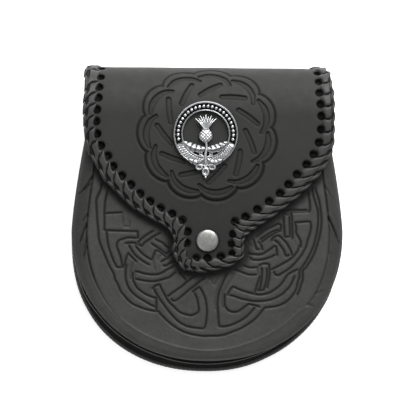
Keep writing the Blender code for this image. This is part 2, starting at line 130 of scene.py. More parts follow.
PROFILE = sheet_profile()
FLAP_RUN, FLAP_TOP_Y = PROFILE[-2][:2]


def on_sheet(flat, lift):
    """Points of the flat pattern (x, run), lifted out of the sheet's middle, once it is folded."""
    flat = np.asarray(flat, float)
    y, z, out_y, out_z = (np.interp(flat[:, 1], PROFILE[:, 0], PROFILE[:, k]) for k in (1, 2, 3, 4))
    return np.column_stack((flat[:, 0], y + lift * out_y, z + lift * out_z))


def flap_run(y):
    """The run at which the flap, below its fold, has this y."""
    return FLAP_RUN + (FLAP_TOP_Y - y) / math.cos(FLAP_SLOPE)


WIDEST_Y = -10.6 * MM                  # height of the widest line of the body
# Superellipse exponents of its lower outline, at places from -1 on the left to 1 on the right
ROUNDNESS = (2.40, 2.36, 2.32, 2.24, 2.18, 2.09, 2.14, 2.21, 2.30, 2.35)
ROUND_AT = (-1.0, -0.93, -0.87, -0.5, 0.0, 0.43, 0.7, 0.86, 0.93, 1.0)
TAPER, TAPER_POWER = 0.370, 1.35       # how the sides come in above the widest line


def body_outline(side, bottom, top_y, side_steps, round_steps, roundness=ROUNDNESS, places=ROUND_AT):
    """The body's plan outline from its top right, down and round to its top left. Its roundness
    is given at places from -1 on the left to 1 on the right."""
    y = top_y + (WIDEST_Y - top_y) * np.arange(side_steps) / side_steps
    right = np.column_stack((side - TAPER * (y - WIDEST_Y) ** TAPER_POWER, y))
    bend = np.pi * np.arange(round_steps + 1) / round_steps
    across, down = np.cos(bend), np.maximum(np.sin(bend), 0)
    power = 2 / np.interp(across, places, roundness)
    low = np.column_stack((np.sign(across) * side * np.abs(across) ** power,
                           WIDEST_Y - bottom * down ** power))
    return np.vstack((right, low, right[::-1] * (-1, 1)))


def part_way(path, shares):
    """Points at shares of the way along a path."""
    path = np.asarray(path, float)
    runs = np.concatenate(([0], np.cumsum(np.linalg.norm(np.diff(path, axis=0), axis=1))))
    return np.column_stack([np.interp(shares * runs[-1], runs, column) for column in path.T])


def evenly(path, count):
    """count + 1 points spaced evenly along a path, its ends included."""
    return part_way(path, np.arange(count + 1) / count)


def inset(path, distance):
    """The path moved to its left by a distance."""
    along = np.gradient(path, axis=0)
    along /= np.linalg.norm(along, axis=1)[:, None]
    return path + np.column_stack((-along[:, 1], along[:, 0])) * distance


def curved(points, steps):
    """A smooth curve through the given points, with so many steps from each to the next."""
    points = np.asarray(points, float)
    p = np.vstack((2 * points[:1] - points[1:2], points, 2 * points[-1:] - points[-2:-1]))
    t = np.linspace(0, 1, steps, endpoint=False)[:, None]
    bends = [0.5 * (2 * p[n] + (p[n + 1] - p[n - 1]) * t
                    + (2 * p[n - 1] - 5 * p[n] + 4 * p[n + 1] - p[n + 2]) * t ** 2
                    + (3 * p[n] - p[n - 1] - 3 * p[n + 1] + p[n + 2]) * t ** 3)
             for n in range(1, len(p) - 2)]
    return np.vstack((*bends, points[-1:]))


def smooth_line(points, spacing):
    """Points at a spacing along a smooth curve through the given ones."""
    points = curved(points, 12)
    length = np.linalg.norm(np.diff(points, axis=0), axis=1).sum()
    return evenly(points, max(2, round(length / spacing)))


def nearest(points, marks):
    """Distance from each flat point to the nearest of the marks, and which it is."""
    tree = kdtree.KDTree(len(marks))
    for n, mark in enumerate(marks):
        tree.insert((*mark, 0), n)
    tree.balance()
    found = [tree.find((x, y, 0)) for x, y in points]
    return np.array([f[2] for f in found]), np.array([f[1] for f in found])


# Half width of the sheet over the fold, by distance past the start of the bend
FOLD_WIDTHS = ((-6.0, 73.4), (4.0, 74.8), (13.0, 77.0), (27.0, 79.0), (42.0, 80.4), (58.0, 81.3))
BACK_SIDE, BACK_DROP = 89.0 * MM, 91.1 * MM
HOLE_INSET, HOLE_RADIUS, HOLE_PITCH = 7.6 * MM, 2.7 * MM, 8.3 * MM
LACE_REACH, REACH_STEPS = 0.7 * MM, 60  # how far the lacing's lines run past the sheet's edge

# The lacing as it is seen in the picture, from the top left down, round the tongue and up to the
# top right: pixel column and row of each hole, and of the place on the edge that the line
# between two turns of lace runs to from there. A turn that shares its hole has a 0.
LACE_CHART = (
    (100.7, 76.8, 88.8, 85.8, 1), (99.2, 86.8, 87.4, 98.3, 1), (98.3, 97.4, 87.0, 109.5, 1),
    (96.8, 109.3, 87.0, 121.5, 1), (96.2, 121.0, 87.9, 133.4, 1), (97.1, 133.5, 90.7, 147.5, 1),
    (100.9, 145.4, 98.4, 162.0, 1), (108.0, 155.7, 106.5, 175.5, 1), (113.3, 166.2, 114.4, 184.2, 1),
    (122.0, 175.6, 123.8, 193.7, 1), (131.0, 184.5, 133.5, 202.6, 1), (140.2, 193.5, 144.4, 210.0, 1),
    (150.1, 201.2, 154.8, 216.3, 1), (160.7, 208.0, 165.4, 222.5, 1), (172.1, 213.9, 173.0, 230.0, 1),
    (182.4, 220.0, 176.7, 238.3, 1), (187.6, 231.5, 176.6, 247.6, 1), (186.9, 243.0, 179.2, 256.4, 1),
    (187.6, 253.2, 184.5, 265.3, 0), (189.4, 256.6, 191.2, 267.2, 0), (196.4, 258.0, 201.0, 268.6, 1),
    (207.4, 258.2, 216.0, 267.4, 1), (220.8, 256.4, 231.3, 262.8, 1), (232.6, 253.3, 241.5, 255.2, 1),
    (231.8, 243.6, 241.5, 246.3, 1), (233.1, 234.2, 242.2, 238.2, 1), (233.8, 224.2, 246.2, 231.2, 0),
    (235.0, 221.4, 253.4, 225.6, 1), (245.5, 216.7, 262.0, 220.4, 1), (257.3, 209.4, 272.9, 212.9, 1),
    (269.1, 201.3, 284.4, 204.1, 1), (280.0, 193.2, 295.7, 194.9, 1), (288.5, 184.3, 306.2, 184.5, 1),
    (297.0, 174.4, 315.9, 173.7, 1), (306.6, 164.4, 323.2, 163.2, 1), (313.7, 154.3, 328.6, 152.8, 1),
    (319.0, 142.6, 331.3, 141.6, 1), (321.2, 129.4, 332.1, 129.2, 1), (321.6, 116.0, 332.3, 116.5, 1),
    (320.7, 104.0, 332.0, 103.7, 1), (319.5, 92.6, 331.1, 91.6, 1), (319.0, 81.6, 329.2, 81.0, 1),
    (317.6, 73.0, 327.5, 72.2, 1))
LEFT_SLANT, RIGHT_SLANT = 5.5 * MM, 0.3 * MM           # how far the lines slant on the fold
CREST_STEP = 3.4 * MM                                  # the holes are further apart over its crest


def back_edge(side_steps, round_steps):
    """The back panel's edge in the flat pattern, from its top left down and round."""
    top = FOLD_Y + FOLD_WIDTHS[0][0] * MM
    body = body_outline(BACK_SIDE, BACK_DROP, top, side_steps, round_steps)
    return body[::-1] - (0, FOLD_Y)


front_rows = PROFILE[PROFILE[:, 1].argmax():][::-1]
front_y = front_rows[:, 1] + SHEET_THICK / 2 * front_rows[:, 3]
front_z = front_rows[:, 2] + SHEET_THICK / 2 * front_rows[:, 4]
fold_runs, fold_halves = np.array(FOLD_WIDTHS).T * MM


def on_front(pixels):
    """The places in the flat pattern that are seen on the flap's front at the pixels."""
    spot = charted(pixels, lambda y: np.interp(y, front_y, front_z))
    return np.column_stack((spot[:, 0], np.interp(spot[:, 1], front_y, front_rows[:, 0])))


def out_of_sight(side, first_run, slant):
    """Holes and line ends that go on evenly from the first one seen, over the fold and behind."""
    count = int((first_run - CREST_STEP - fold_runs[0]) / HOLE_PITCH - 0.6)
    holes_at = first_run - HOLE_PITCH * np.arange(1, count + 1) - CREST_STEP
    half, half_end = (np.interp(runs, fold_runs, fold_halves) for runs in (holes_at, holes_at + slant))
    return (np.column_stack((side * (half - HOLE_INSET), holes_at)),
            np.column_stack((side * half_end, holes_at + slant)))


chart = np.array(LACE_CHART)
seen_holes, seen_ends = on_front(chart[:, :2]), on_front(chart[:, 2:4])
left_holes, left_ends = out_of_sight(-1, seen_holes[0, 1], LEFT_SLANT)
right_holes, right_ends = out_of_sight(1, seen_holes[-1, 1], RIGHT_SLANT)
HOLE_MARKS = np.vstack((left_holes[::-1], seen_holes, right_holes))
EDGE_MARKS = np.vstack((left_ends[::-1], seen_ends, right_ends))
PUNCHED = np.concatenate((np.ones(len(left_holes)), chart[:, 4], np.ones(len(right_holes)))) > 0
HOLES = HOLE_MARKS[PUNCHED]
STITCHES = len(HOLE_MARKS)

EDGE_STEPS = 2400
top_left, top_right = ((side * fold_halves[0], fold_runs[0]) for side in (-1, 1))
lace_edge = evenly(curved(np.vstack((top_left, EDGE_MARKS, top_right)), 24), EDGE_STEPS)
near_end = np.minimum(np.arange(EDGE_STEPS + 1), EDGE_STEPS - np.arange(EDGE_STEPS + 1))
FLAP_EDGE = inset(lace_edge, -LACE_REACH * np.clip(near_end / REACH_STEPS, 0, 1)[:, None])[::-1]


def circle(centre, radius, sides):
    """Points round a flat circle."""
    angle = 2 * np.pi * np.arange(sides) / sides
    return np.column_stack((centre[0] + radius * np.cos(angle), centre[1] + radius * np.sin(angle)))


def inside(points, loop):
    """Which of the flat points lie inside a closed loop."""
    x, y = points[:, 0], points[:, 1]
    odd = np.zeros(len(points), bool)
    for (ax, ay), (bx, by) in zip(loop, np.roll(loop, -1, 0)):
        if ay != by:
            odd ^= ((ay > y) != (by > y)) & (x < ax + (bx - ax) * (y - ay) / (by - ay))
    return odd


def thinned(spots, gap, taken):
    """The spots that keep a gap from one another and from those already taken."""
    cells = {}
    for x, y in taken:
        cells.setdefault((int(x // gap), int(y // gap)), []).append((x, y))
    kept = []
    for x, y in spots:
        column, row = int(x // gap), int(y // gap)
        near = [p for i in (column - 1, column, column + 1) for j in (row - 1, row, row + 1)
                for p in cells.get((i, j), ())]
        if all((x - a) ** 2 + (y - b) ** 2 > gap * gap for a, b in near):
            cells.setdefault((column, row), []).append((x, y))
            kept.append((x, y))
    return np.array(kept).reshape(-1, 2)


def lattice(low, high, step):
    """Staggered rows of spots between two corners."""
    rows = []
    for n, y in enumerate(np.arange(low[1], high[1], step * 0.87)):
        x = np.arange(low[0] + (n % 2) * step / 2, high[0], step)
        rows.append(np.column_stack((x, np.full(len(x), y))))
    return np.vstack(rows)


def cut_out(loops, spots):
    """Flat points and triangles over the first loop, less the loops inside it."""
    flat = np.vstack([*loops, spots])
    rims, owner, first = [], np.full(len(flat), -1), 0
    for number, loop in enumerate(loops):
        count = len(loop)
        rims += [(first + n, first + (n + 1) % count) for n in range(count)]
        owner[first:first + count] = number
        first += count
    found = delaunay_2d_cdt([Vector(p) for p in flat], rims, [], 0, 1e-8)
    triangles = np.array(found[2])
    in_hole = (owner[triangles] == owner[triangles[:, :1]]).all(axis=1) & (owner[triangles[:, 0]] > 0)
    kept = inside(flat[triangles].mean(axis=1), loops[0]) & ~in_hole
    return flat, triangles[kept], rims


def beside(line, offsets):
    """Rows of spots along a line, at offsets to both sides of it."""
    return np.vstack([inset(line, side * offset) for offset in offsets for side in (-1, 1)])


# The pressed ring: eleven units round its middle, each a sunken crescent under a lobe of the
# outline and a sunken bar crossing inwards. Angles run anticlockwise from the cusps.
RING_MIDDLE = np.array((-1.0 * MM, flap_run(54.9 * MM)))
UNITS_LOWER = 0.7 * MM                 # the recesses' middle is this much below the outline's
RING_UNITS = 11
RING_FIRST = 3.0                                       # degrees, the first cusp
RING_CUSP, RING_LOBE = 42.0 * MM, 46.4 * MM            # radii of the outline
CRESCENT = ((39.7, -4.0, 1.2), (40.5, -12.0, 2.0), (40.3, -20.0, 2.05), (38.6, -29.0, 1.75),
            (35.4, -36.5, 1.1))                        # radius, angle, half width
BAR = ((33.4, 6.6, 1.7), (28.8, 18.0, 1.8), (25.0, 32.0, 1.65))
RECESS_DEPTH, EDGE_DEPTH, OUTLINE_DEPTH = 0.62 * MM, 0.30 * MM, 0.80 * MM
RING_REACH = 52 * MM                                   # nothing is pressed further out
FLOOR_FADE = 0.7 * MM                                  # how softly a recess drops to its floor
EDGE_LINE, EDGE_WIDTH = 0.35 * MM, 0.80 * MM           # the tool's line just inside its edge
SHADED_RIM_FACING = (0.35, 0.94)                             # painted shade: rims on this side are darkest
DEEPER_OVER = 90 * MM                                  # everything is cut deeper further down


def around(radius, degrees):
    """Flat points at radii, in millimetres, and angles round the ring's middle."""
    angle = np.radians(degrees)
    return RING_MIDDLE + np.column_stack((radius * np.cos(angle), -radius * np.sin(angle)))


recess_discs, recess_rims, ring_outline = [], [], []
for unit in range(RING_UNITS):
    cusp = RING_FIRST + 360 / RING_UNITS * unit
    for shape in (CRESCENT, BAR):
        radius, degrees, half = np.array(shape).T
        spine = np.column_stack((around(radius * MM, cusp + degrees) + (0, UNITS_LOWER), half * MM))
        spine = smooth_line(spine, 0.35 * MM)
        recess_discs.append(spine)
        for side in (-1, 1):
            rim = spine[:, :2] + (inset(spine[:, :2], side) - spine[:, :2]) * spine[:, 2:]
            recess_rims.append(rim)
        for end, ahead in ((0, 1), (-1, -2)):
            back = spine[end, :2] - spine[ahead, :2]
            start = math.atan2(back[1], back[0])
            bend = start + np.linspace(-np.pi / 2, np.pi / 2, 9)
            recess_rims.append(spine[end, :2] + spine[end, 2] * np.column_stack((np.cos(bend), np.sin(bend))))
    swing = np.linspace(0, 1, 60, endpoint=False)
    swell = np.sin(np.pi * swing) ** 0.62
    ring_outline.append(around(RING_CUSP + (RING_LOBE - RING_CUSP) * swell, cusp + 360 / RING_UNITS * swing))
recess_discs = np.vstack(recess_discs)
ring_outline = np.vstack(ring_outline)


def press_depth(away, width):
    """How deep a rounded tool presses, as a share, at a distance from its line: with a low
    swell beside it where the leather is pushed up."""
    reach = np.clip(away / width, 0, 1)
    swell = np.exp(-((away - 1.45 * width) / (0.5 * width)) ** 2)
    return (1 - reach ** 2) ** 2 - 0.22 * swell


def ring_height(flat):
    """Height of the pressed ring, and how far a tool pressed there, at points of the flap."""
    height, tooled_and_shaded = np.zeros(len(flat)), np.zeros(len(flat))
    at = np.linalg.norm(flat - RING_MIDDLE, axis=1) < RING_REACH
    spots = flat[at]
    away, facing = np.full(len(spots), 1.0), np.zeros(len(spots))
    for x, y, radius in recess_discs:
        apart = np.hypot(spots[:, 0] - x, spots[:, 1] - y)
        closer = apart - radius < away
        away = np.where(closer, apart - radius, away)
        uphill = ((x, y) - spots) @ SHADED_RIM_FACING / np.maximum(apart, 1e-6)
        facing = np.where(closer, uphill, facing)
    floor = np.clip(0.5 - away / FLOOR_FADE, 0, 1)
    floor = floor * floor * (3 - 2 * floor)
    edge = press_depth(np.abs(away + EDGE_LINE), EDGE_WIDTH)
    lower = np.clip(0.5 + (spots[:, 1] - RING_MIDDLE[1]) / DEEPER_OVER, 0, 1)
    line = press_depth(nearest(spots, ring_outline)[0], (1.0 + 0.5 * lower) * MM)
    height[at] = -RECESS_DEPTH * floor - EDGE_DEPTH * edge - OUTLINE_DEPTH * (0.7 + 0.6 * lower) * line
    # Painted shade: the recesses' upper rims, facing away from the light, are painted darkest; the outline's
    # line and floors are darkened too
    shaded = np.clip(0.25 + 0.75 * facing, 0, 1)
    tooled_and_shaded[at] = np.clip(np.maximum(edge * shaded, (0.65 + 0.35 * lower) * line), 0, 1) + 0.1 * floor
    return height, tooled_and_shaded


def plain_mesh(name, points, faces, tooled_and_shaded=None):
    """A mesh object in the piece's own name, smooth, with its tool marks and painted shade as an attribute.
    """
    mesh = bpy.data.meshes.new(name)
    mesh.from_pydata([tuple(p) for p in points], [], [tuple(f) for f in faces])
    mesh.shade_smooth()
    if tooled_and_shaded is not None:
        mesh.attributes.new("tooled_and_shaded", "FLOAT", "POINT").data.foreach_set("value", tooled_and_shaded)
    made = bpy.data.objects.new(name, mesh)
    bpy.context.scene.collection.objects.link(made)
    return made


def turned_out(made, sharp=35):
    """Merges doubles, turns the faces outwards and marks the sharp edges."""
    work = bmesh.new()
    work.from_mesh(made.data)
    bmesh.ops.remove_doubles(work, verts=work.verts, dist=1e-7)
    bmesh.ops.recalc_face_normals(work, faces=work.faces)
    work.to_mesh(made.data)
    work.free()
    made.data.shade_smooth()
    made.data.set_sharp_from_angle(angle=math.radians(sharp))


SNAP_X, SNAP_Y, SNAP_RADIUS, SNAP_SHADE = -0.9 * MM, -17.2 * MM, 7.4 * MM, 1.0 * MM
SHANK_HOLE, POST_HOLE = 2.3 * MM, 1.2 * MM
BADGE_X, BADGE_Y, BADGE_POST_X = -2.2 * MM, 52.9 * MM, 18.1 * MM

sheet_edge = np.vstack((evenly(FLAP_EDGE, 11 * STITCHES), back_edge(60, 150)[1:-1]))
sheet_holes = [circle(hole, HOLE_RADIUS, 20) for hole in HOLES]
sheet_holes.append(circle((SNAP_X, flap_run(SNAP_Y)), SHANK_HOLE, 20))
for side in (-1, 1):
    sheet_holes.append(circle((BADGE_X + side * BADGE_POST_X, flap_run(BADGE_Y)), POST_HOLE, 12))
sheet_loops = [sheet_edge, *sheet_holes]

TOOL_ROWS = np.array((0.0, 0.3, 0.6, 0.9, 1.25, 1.65)) * MM          # rows of points beside a tool's line
DISH_WIDTH, DISH_DEPTH = 0.9 * MM, 0.30 * MM                         # the punch dishes the leather
EDGE_SHADE = 4.4 * MM                                                # painted shade under the lacing
FLAP_FROM = -0.003                     # run where the fine mesh of the flap starts, in metres
TOOL_GAP, FACE_TOOL_GAP = 0.24 * MM, 0.28 * MM         # least gaps between points beside a tool's line
FLAP_STEP, FLAP_GAP = 1.35 * MM, 1.0 * MM              # spacing of the mesh, and its least gap
BACK_STEP, BACK_GAP = 4.0 * MM, 2.2 * MM
UNDER_STEP, UNDER_GAP = 3.4 * MM, 2.0 * MM
BEND_STEP, BEND_GAP = 1.8 * MM, 1.3 * MM
BEND_FROM, BEND_TO = -0.006, 0.066     # runs, in metres, between which the underside bends
FLAP_WAVES, FLAP_WAVE_RISE, FLAP_WAVE_FADE = 38, 0.22 * MM, 12 * MM
fine = [beside(evenly(rim, max(2, len(rim) - 1)), TOOL_ROWS[:4]) for rim in recess_rims]
fine.append(beside(evenly(np.vstack((ring_outline, ring_outline[:1])), 640), TOOL_ROWS))
fine = np.vstack(fine)
collars = [circle(hole, HOLE_RADIUS + more * MM, 20) for more in (0.35, 0.8) for hole in HOLES]
fixed = np.vstack(sheet_loops)
fine = thinned(np.vstack((*collars, fine)), TOOL_GAP, fixed)
taken = np.vstack((fixed, fine))
low, high = sheet_edge.min(axis=0), sheet_edge.max(axis=0)
flap_fill = thinned(lattice((low[0], FLAP_FROM), high, FLAP_STEP), FLAP_GAP, taken)
back_fill = thinned(lattice(low, (high[0], FLAP_FROM), BACK_STEP), BACK_GAP, taken)
spots = np.vstack((fine, flap_fill, back_fill))
spots = spots[inside(spots, sheet_edge)]
spots = spots[nearest(spots, HOLES)[0] >= HOLE_RADIUS]
flat, top_faces, rims = cut_out(sheet_loops, spots)

height, tooled_and_shaded = ring_height(flat)
from_hole = nearest(flat, HOLES)[0] - HOLE_RADIUS
dish = np.clip(1 - from_hole / DISH_WIDTH, 0, 1) ** 2
height -= DISH_DEPTH * dish
# Painted shade: the dished rims round the holes are painted dark
tooled_and_shaded += 1.2 * dish
# Painted shadow: a dark ring round the snap's cap, set a little to the right and down, where its shadow falls
from_snap = np.hypot(flat[:, 0] - SNAP_X - 0.3 * MM, flat[:, 1] - flap_run(SNAP_Y) - 0.4 * MM)
tooled_and_shaded += np.clip(1 - (from_snap - SNAP_RADIUS) / SNAP_SHADE, 0, 1)
# Painted shade under the lacing, darkest near the edge
from_flap_edge = nearest(flat, lace_edge)[0]
tooled_and_shaded += np.clip(1.5 - from_flap_edge / EDGE_SHADE, 0, 1)
waves = np.array([noise.noise((x * FLAP_WAVES, y * FLAP_WAVES, 3.1)) for x, y in flat])
height += FLAP_WAVE_RISE * waves * np.clip(nearest(flat, sheet_edge)[0] / FLAP_WAVE_FADE, 0, 1)
height[:len(sheet_edge)] = 0
top = on_sheet(flat, SHEET_THICK / 2 + height)

# The underside: coarser, apart from where it bends round the fold
under_spots = thinned(lattice(low, high, UNDER_STEP), UNDER_GAP, fixed)
under_spots = under_spots[inside(under_spots, sheet_edge)]
bending = (under_spots[:, 1] > BEND_FROM) & (under_spots[:, 1] < BEND_TO)
under_bend = thinned(lattice((low[0], BEND_FROM), (high[0], BEND_TO), BEND_STEP), BEND_GAP, fixed)
under_spots = np.vstack((under_spots[~bending], under_bend[inside(under_bend, sheet_edge)]))
under_flat, under_faces, _ = cut_out(sheet_loops, under_spots)
under = on_sheet(under_flat, -SHEET_THICK / 2)
base = len(top)
walls = [(a, b, base + b, base + a) for a, b in rims]
faces = [tuple(t) for t in top_faces] + [tuple(base + n for n in t[::-1]) for t in under_faces]
# Painted shade: the hole walls and the underside round the holes are painted dark
shaded_hole_walls = nearest(under_flat, HOLES)[0] < HOLE_RADIUS + GAP
sheet = plain_mesh("back_and_flap_leather", np.vstack((top, under)), faces + walls,
                   np.concatenate((np.clip(tooled_and_shaded, 0, 1), shaded_hole_walls)))
turned_out(sheet, 50)


def node_tree(name):
    """A new material, its node tree, its shader and its object coordinates."""
    made = bpy.data.materials.new(name)
    made.use_nodes = True
    nodes = made.node_tree.nodes
    shader = nodes["Principled BSDF"]
    place = nodes.new("ShaderNodeTexCoord")
    return made, made.node_tree, shader, place.outputs["Object"]


def grain(tree, place, scale, detail=2.0, rough=0.5, kind="ShaderNodeTexNoise"):
    """A noise or cell pattern at so many marks to the metre."""
    made = tree.nodes.new(kind)
    made.inputs["Scale"].default_value = scale
    if kind == "ShaderNodeTexNoise":
        made.inputs["Detail"].default_value = detail
        made.inputs["Roughness"].default_value = rough
    tree.links.new(place, made.inputs["Vector"])
    return made.outputs[0]


def spread(tree, value, low, high, to_low, to_high):
    """A value mapped from one range onto another, clamped."""
    made = tree.nodes.new("ShaderNodeMapRange")
    for socket, number in zip(made.inputs[1:5], (low, high, to_low, to_high)):
        socket.default_value = number
    tree.links.new(value, made.inputs[0])
    return made.outputs[0]


def figured(tree, kind, first, second, clamped=False):
    """Two values joined by arithmetic, where a number may stand for either."""
    made = tree.nodes.new("ShaderNodeMath")
    made.operation = kind
    made.use_clamp = clamped
    for socket, value in zip(made.inputs, (first, second)):
        if isinstance(value, (int, float)):
            socket.default_value = value
        else:
            tree.links.new(value, socket)
    return made.outputs[0]


def tinted(tree, share, low, high):
    """A colour between two, by share. Each is a colour or the output of another node."""
    made = tree.nodes.new("ShaderNodeMix")
    made.data_type = "RGBA"
    tree.links.new(share, made.inputs[0])
    for socket, colour in zip(made.inputs[6:8], (low, high)):
        if isinstance(colour, tuple):
            socket.default_value = (*colour, 1)
        else:
            tree.links.new(colour, socket)
    return made.outputs[2]


def tool_marks_and_shade(tree):
    """How far a tool pressed, how much grime lies and how much shade is painted, at each point of the mesh.
    """
    mark = tree.nodes.new("ShaderNodeAttribute")
    mark.attribute_name = "tooled_and_shaded"
    return mark.outputs["Fac"]


def raised(tree, shader, height, depth, strength=1.0):
    """A bump of a real depth, in metres, on the shader."""
    made = tree.nodes.new("ShaderNodeBump")
    made.inputs["Strength"].default_value = strength
    made.inputs["Distance"].default_value = depth
    tree.links.new(height, made.inputs["Height"])
    tree.links.new(made.outputs[0], shader.inputs["Normal"])


# Pressed leather's colour, used also for painted shade in holes, gaps and under the lacing
PRESSED_DYE_AND_SHADE = (0.0025, 0.0025, 0.0024)
MOTTLE, FINE_MOTTLE, FINE_GRAIN, PEBBLE, GLOSS_PATCHES = 55, 560, 1500, 900, 160      # marks to the metre


def leather(name, dark, light, gloss, grain_depth=0.09 * MM, painted_top_light=None, shine=0.28):
    """Black leather: fine pebbled grain, a soft sheen that varies, and darker, duller places where
    the attribute says: tool marks and painted shade. It may be painted lighter towards a colour
    from one height on the object to another, as painted light on its upper part."""
    made, tree, shader, place = node_tree(name)
    mottle = figured(tree, "ADD", grain(tree, place, MOTTLE, 3.0), grain(tree, place, FINE_MOTTLE, 2.0))
    colour = tinted(tree, spread(tree, mottle, 0.72, 1.30, 0, 1), dark, light)
    if painted_top_light:
        low_y, high_y, pale = painted_top_light
        apart = tree.nodes.new("ShaderNodeSeparateXYZ")
        tree.links.new(place, apart.inputs[0])
        colour = tinted(tree, spread(tree, apart.outputs["Y"], low_y, high_y, 0, 1), colour, pale)
    marks = tool_marks_and_shade(tree)
    tree.links.new(tinted(tree, marks, colour, PRESSED_DYE_AND_SHADE), shader.inputs["Base Color"])
    fine_grain = grain(tree, place, FINE_GRAIN, 2.0)
    pebble = grain(tree, place, PEBBLE, kind="ShaderNodeTexVoronoi")
    relief = figured(tree, "ADD", figured(tree, "MULTIPLY", pebble, 0.5), fine_grain)
    raised(tree, shader, relief, grain_depth, 0.75)
    rough = spread(tree, grain(tree, place, GLOSS_PATCHES, 3.0), 0.3, 0.7, gloss - 0.05, gloss + 0.06)
    rough = figured(tree, "ADD", rough, figured(tree, "MULTIPLY", marks, 0.3))
    tree.links.new(rough, shader.inputs["Roughness"])
    shader.inputs["Specular IOR Level"].default_value = shine
    shader.inputs["Sheen Weight"].default_value = 0.04
    shader.inputs["Sheen Roughness"].default_value = 0.5
    return made


# Painted light: the flap is painted paler towards its fold
flap_leather = leather("flap_leather", (0.010, 0.010, 0.0097), (0.0155, 0.0155, 0.0149), 0.62,
                       painted_top_light=(-0.035, 0.05, (0.025, 0.025, 0.024)), shine=0.20)
sheet.data.materials.append(flap_leather)
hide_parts("back_and_flap")
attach(sheet, "root")

# ---- Front panel ------------------------------------------------------------------------
# Leather, 2.2 mm thick, moulded wet over a block: a flat face with a crisp crease round it, a
# rolled border, sides gathered in small slanting pleats, and a lip that is fixed to the back.
# The face is pressed with knotwork, each line drawn by a rounded tool about 2 mm wide.

PAN_WALL = 2.2 * MM
PAN_UNDER_FLAP = 3.1 * MM
PAN_TOP_Y = 79.4 * MM
LIP_TOP_Z = 14.0 * MM
# Sections from the edge of the flat face out to the lip: half width, drop below the widest
# line, the share of the way down, the roundness on the left and on the right, and the shares
# of the crease's own cuts and of the lip's own roundness. Widths and drops are millimetres
PAN_SECTIONS = np.array((
    (80.2, 78.9, 0.000, 2.24, 2.24, 1.00, 0.0), (82.6, 80.8, 0.006, 2.23, 2.24, 0.90, 0.0),
    (84.8, 82.5, 0.022, 2.21, 2.23, 0.70, 0.0), (86.8, 83.9, 0.055, 2.17, 2.21, 0.45, 0.0),
    (88.4, 84.7, 0.110, 2.13, 2.19, 0.20, 0.0), (89.5, 85.2, 0.200, 2.10, 2.17, 0.05, 0.0),
    (90.0, 85.4, 0.320, 2.07, 2.15, 0.00, 0.0), (90.0, 85.4, 0.470, 2.07, 2.15, 0.00, 0.0),
    (89.2, 85.2, 0.620, 2.07, 2.15, 0.00, 0.0), (87.6, 84.9, 0.780, 2.07, 2.15, 0.00, 0.0),
    (85.8, 84.5, 0.920, 2.07, 2.15, 0.00, 0.2), (85.2, 84.6, 1.000, 2.07, 2.15, 0.00, 0.5),
    (88.0, 87.1, 1.000, 2.07, 2.15, 0.00, 1.0)))
# At places from -1 on its left to 1 on its right: how much less round the crease is than its
# section says, and how round the lip is
ROUND_PLACES = np.array((-1.0, -0.8, -0.32, 0.32, 0.72, 0.85, 1.0))
ROUND_CUTS = np.array((0.08, 0.06, 0.24, 0.31, 0.21, 0.04, 0.0))
LIP_ROUNDNESS = np.array((2.40, 2.17, 2.05, 2.07, 2.08, 2.05, 2.00))
PAN_ROWS, ROW_CROWDING = 42, 1.4       # rows from the crease to the lip, closer near the crease
SIDE_STEPS, ROUND_STEPS = 150, 240
WALL_FALL = 22                         # millimetres from the crease down to the lip
MOUTH_STEPS = 88
STUD_HOLE = 2.4 * MM
FACE_LOW, FACE_RIGHT = -0.095, 0.09    # metres, past the face's own edge
FACE_WAVES, FACE_WAVE_RISE, FACE_WAVE_FADE = 45, 0.25 * MM, 15 * MM

face_line = on_sheet(np.column_stack((np.zeros(220), np.linspace(0.0145, 0.2, 220))), -PAN_UNDER_FLAP)
face_line = face_line[np.argsort(face_line[:, 1])]


def face_z(y):
    """Height of the front panel's face, which follows the underside of the flap."""
    return np.interp(y, face_line[:, 1], face_line[:, 2])


# Pleats where the leather was gathered: side, then y and distance out from the crease at both
# ends, and depth, in millimetres
PLEATS = (
    (-1, 24.9, 0.0, 15.5, 6.8, 1.2), (-1, 19.2, 1.9, 13.2, 9.9, 1.0), (-1, -0.4, 0.0, -4.7, 3.8, 0.9),
    (-1, -6.8, 0.0, -18.9, 6.2, 1.4), (-1, -17.5, 0.0, -22.9, 3.4, 1.0), (-1, -21.6, 0.6, -28.3, 4.2, 1.1),
    (1, -1.5, 0.0, -18.0, 8.4, 1.3), (1, 19.3, 0.0, 9.8, 6.5, 0.6), (1, -25.0, 0.9, -29.0, 2.8, 0.5),
    (1, -51.5, 0.4, -49.8, 5.6, 0.5), (1, -58.8, 0.2, -59.8, 4.8, 0.6))
PLEAT_WIDTH = 1.5 * MM
PLEAT_NARROWS, PLEAT_FADES = 0.45, 0.5                 # shares lost towards its outer end
RIDGE_RISE, RIDGE_WIDTH = 0.65 * MM, 3.0 * MM          # the crisp edge that the block's corner leaves
RIDGE_INWARDS = 1.2 * MM                               # its width on the face
DIP_DEPTH, DIP_AT, DIP_WIDTH = 0.2 * MM, 1.7 * MM, 0.6 * MM          # the low line inside the ridge
CREASE_DEPTH, CREASE_WIDTH = 0.9 * MM, 1.25 * MM
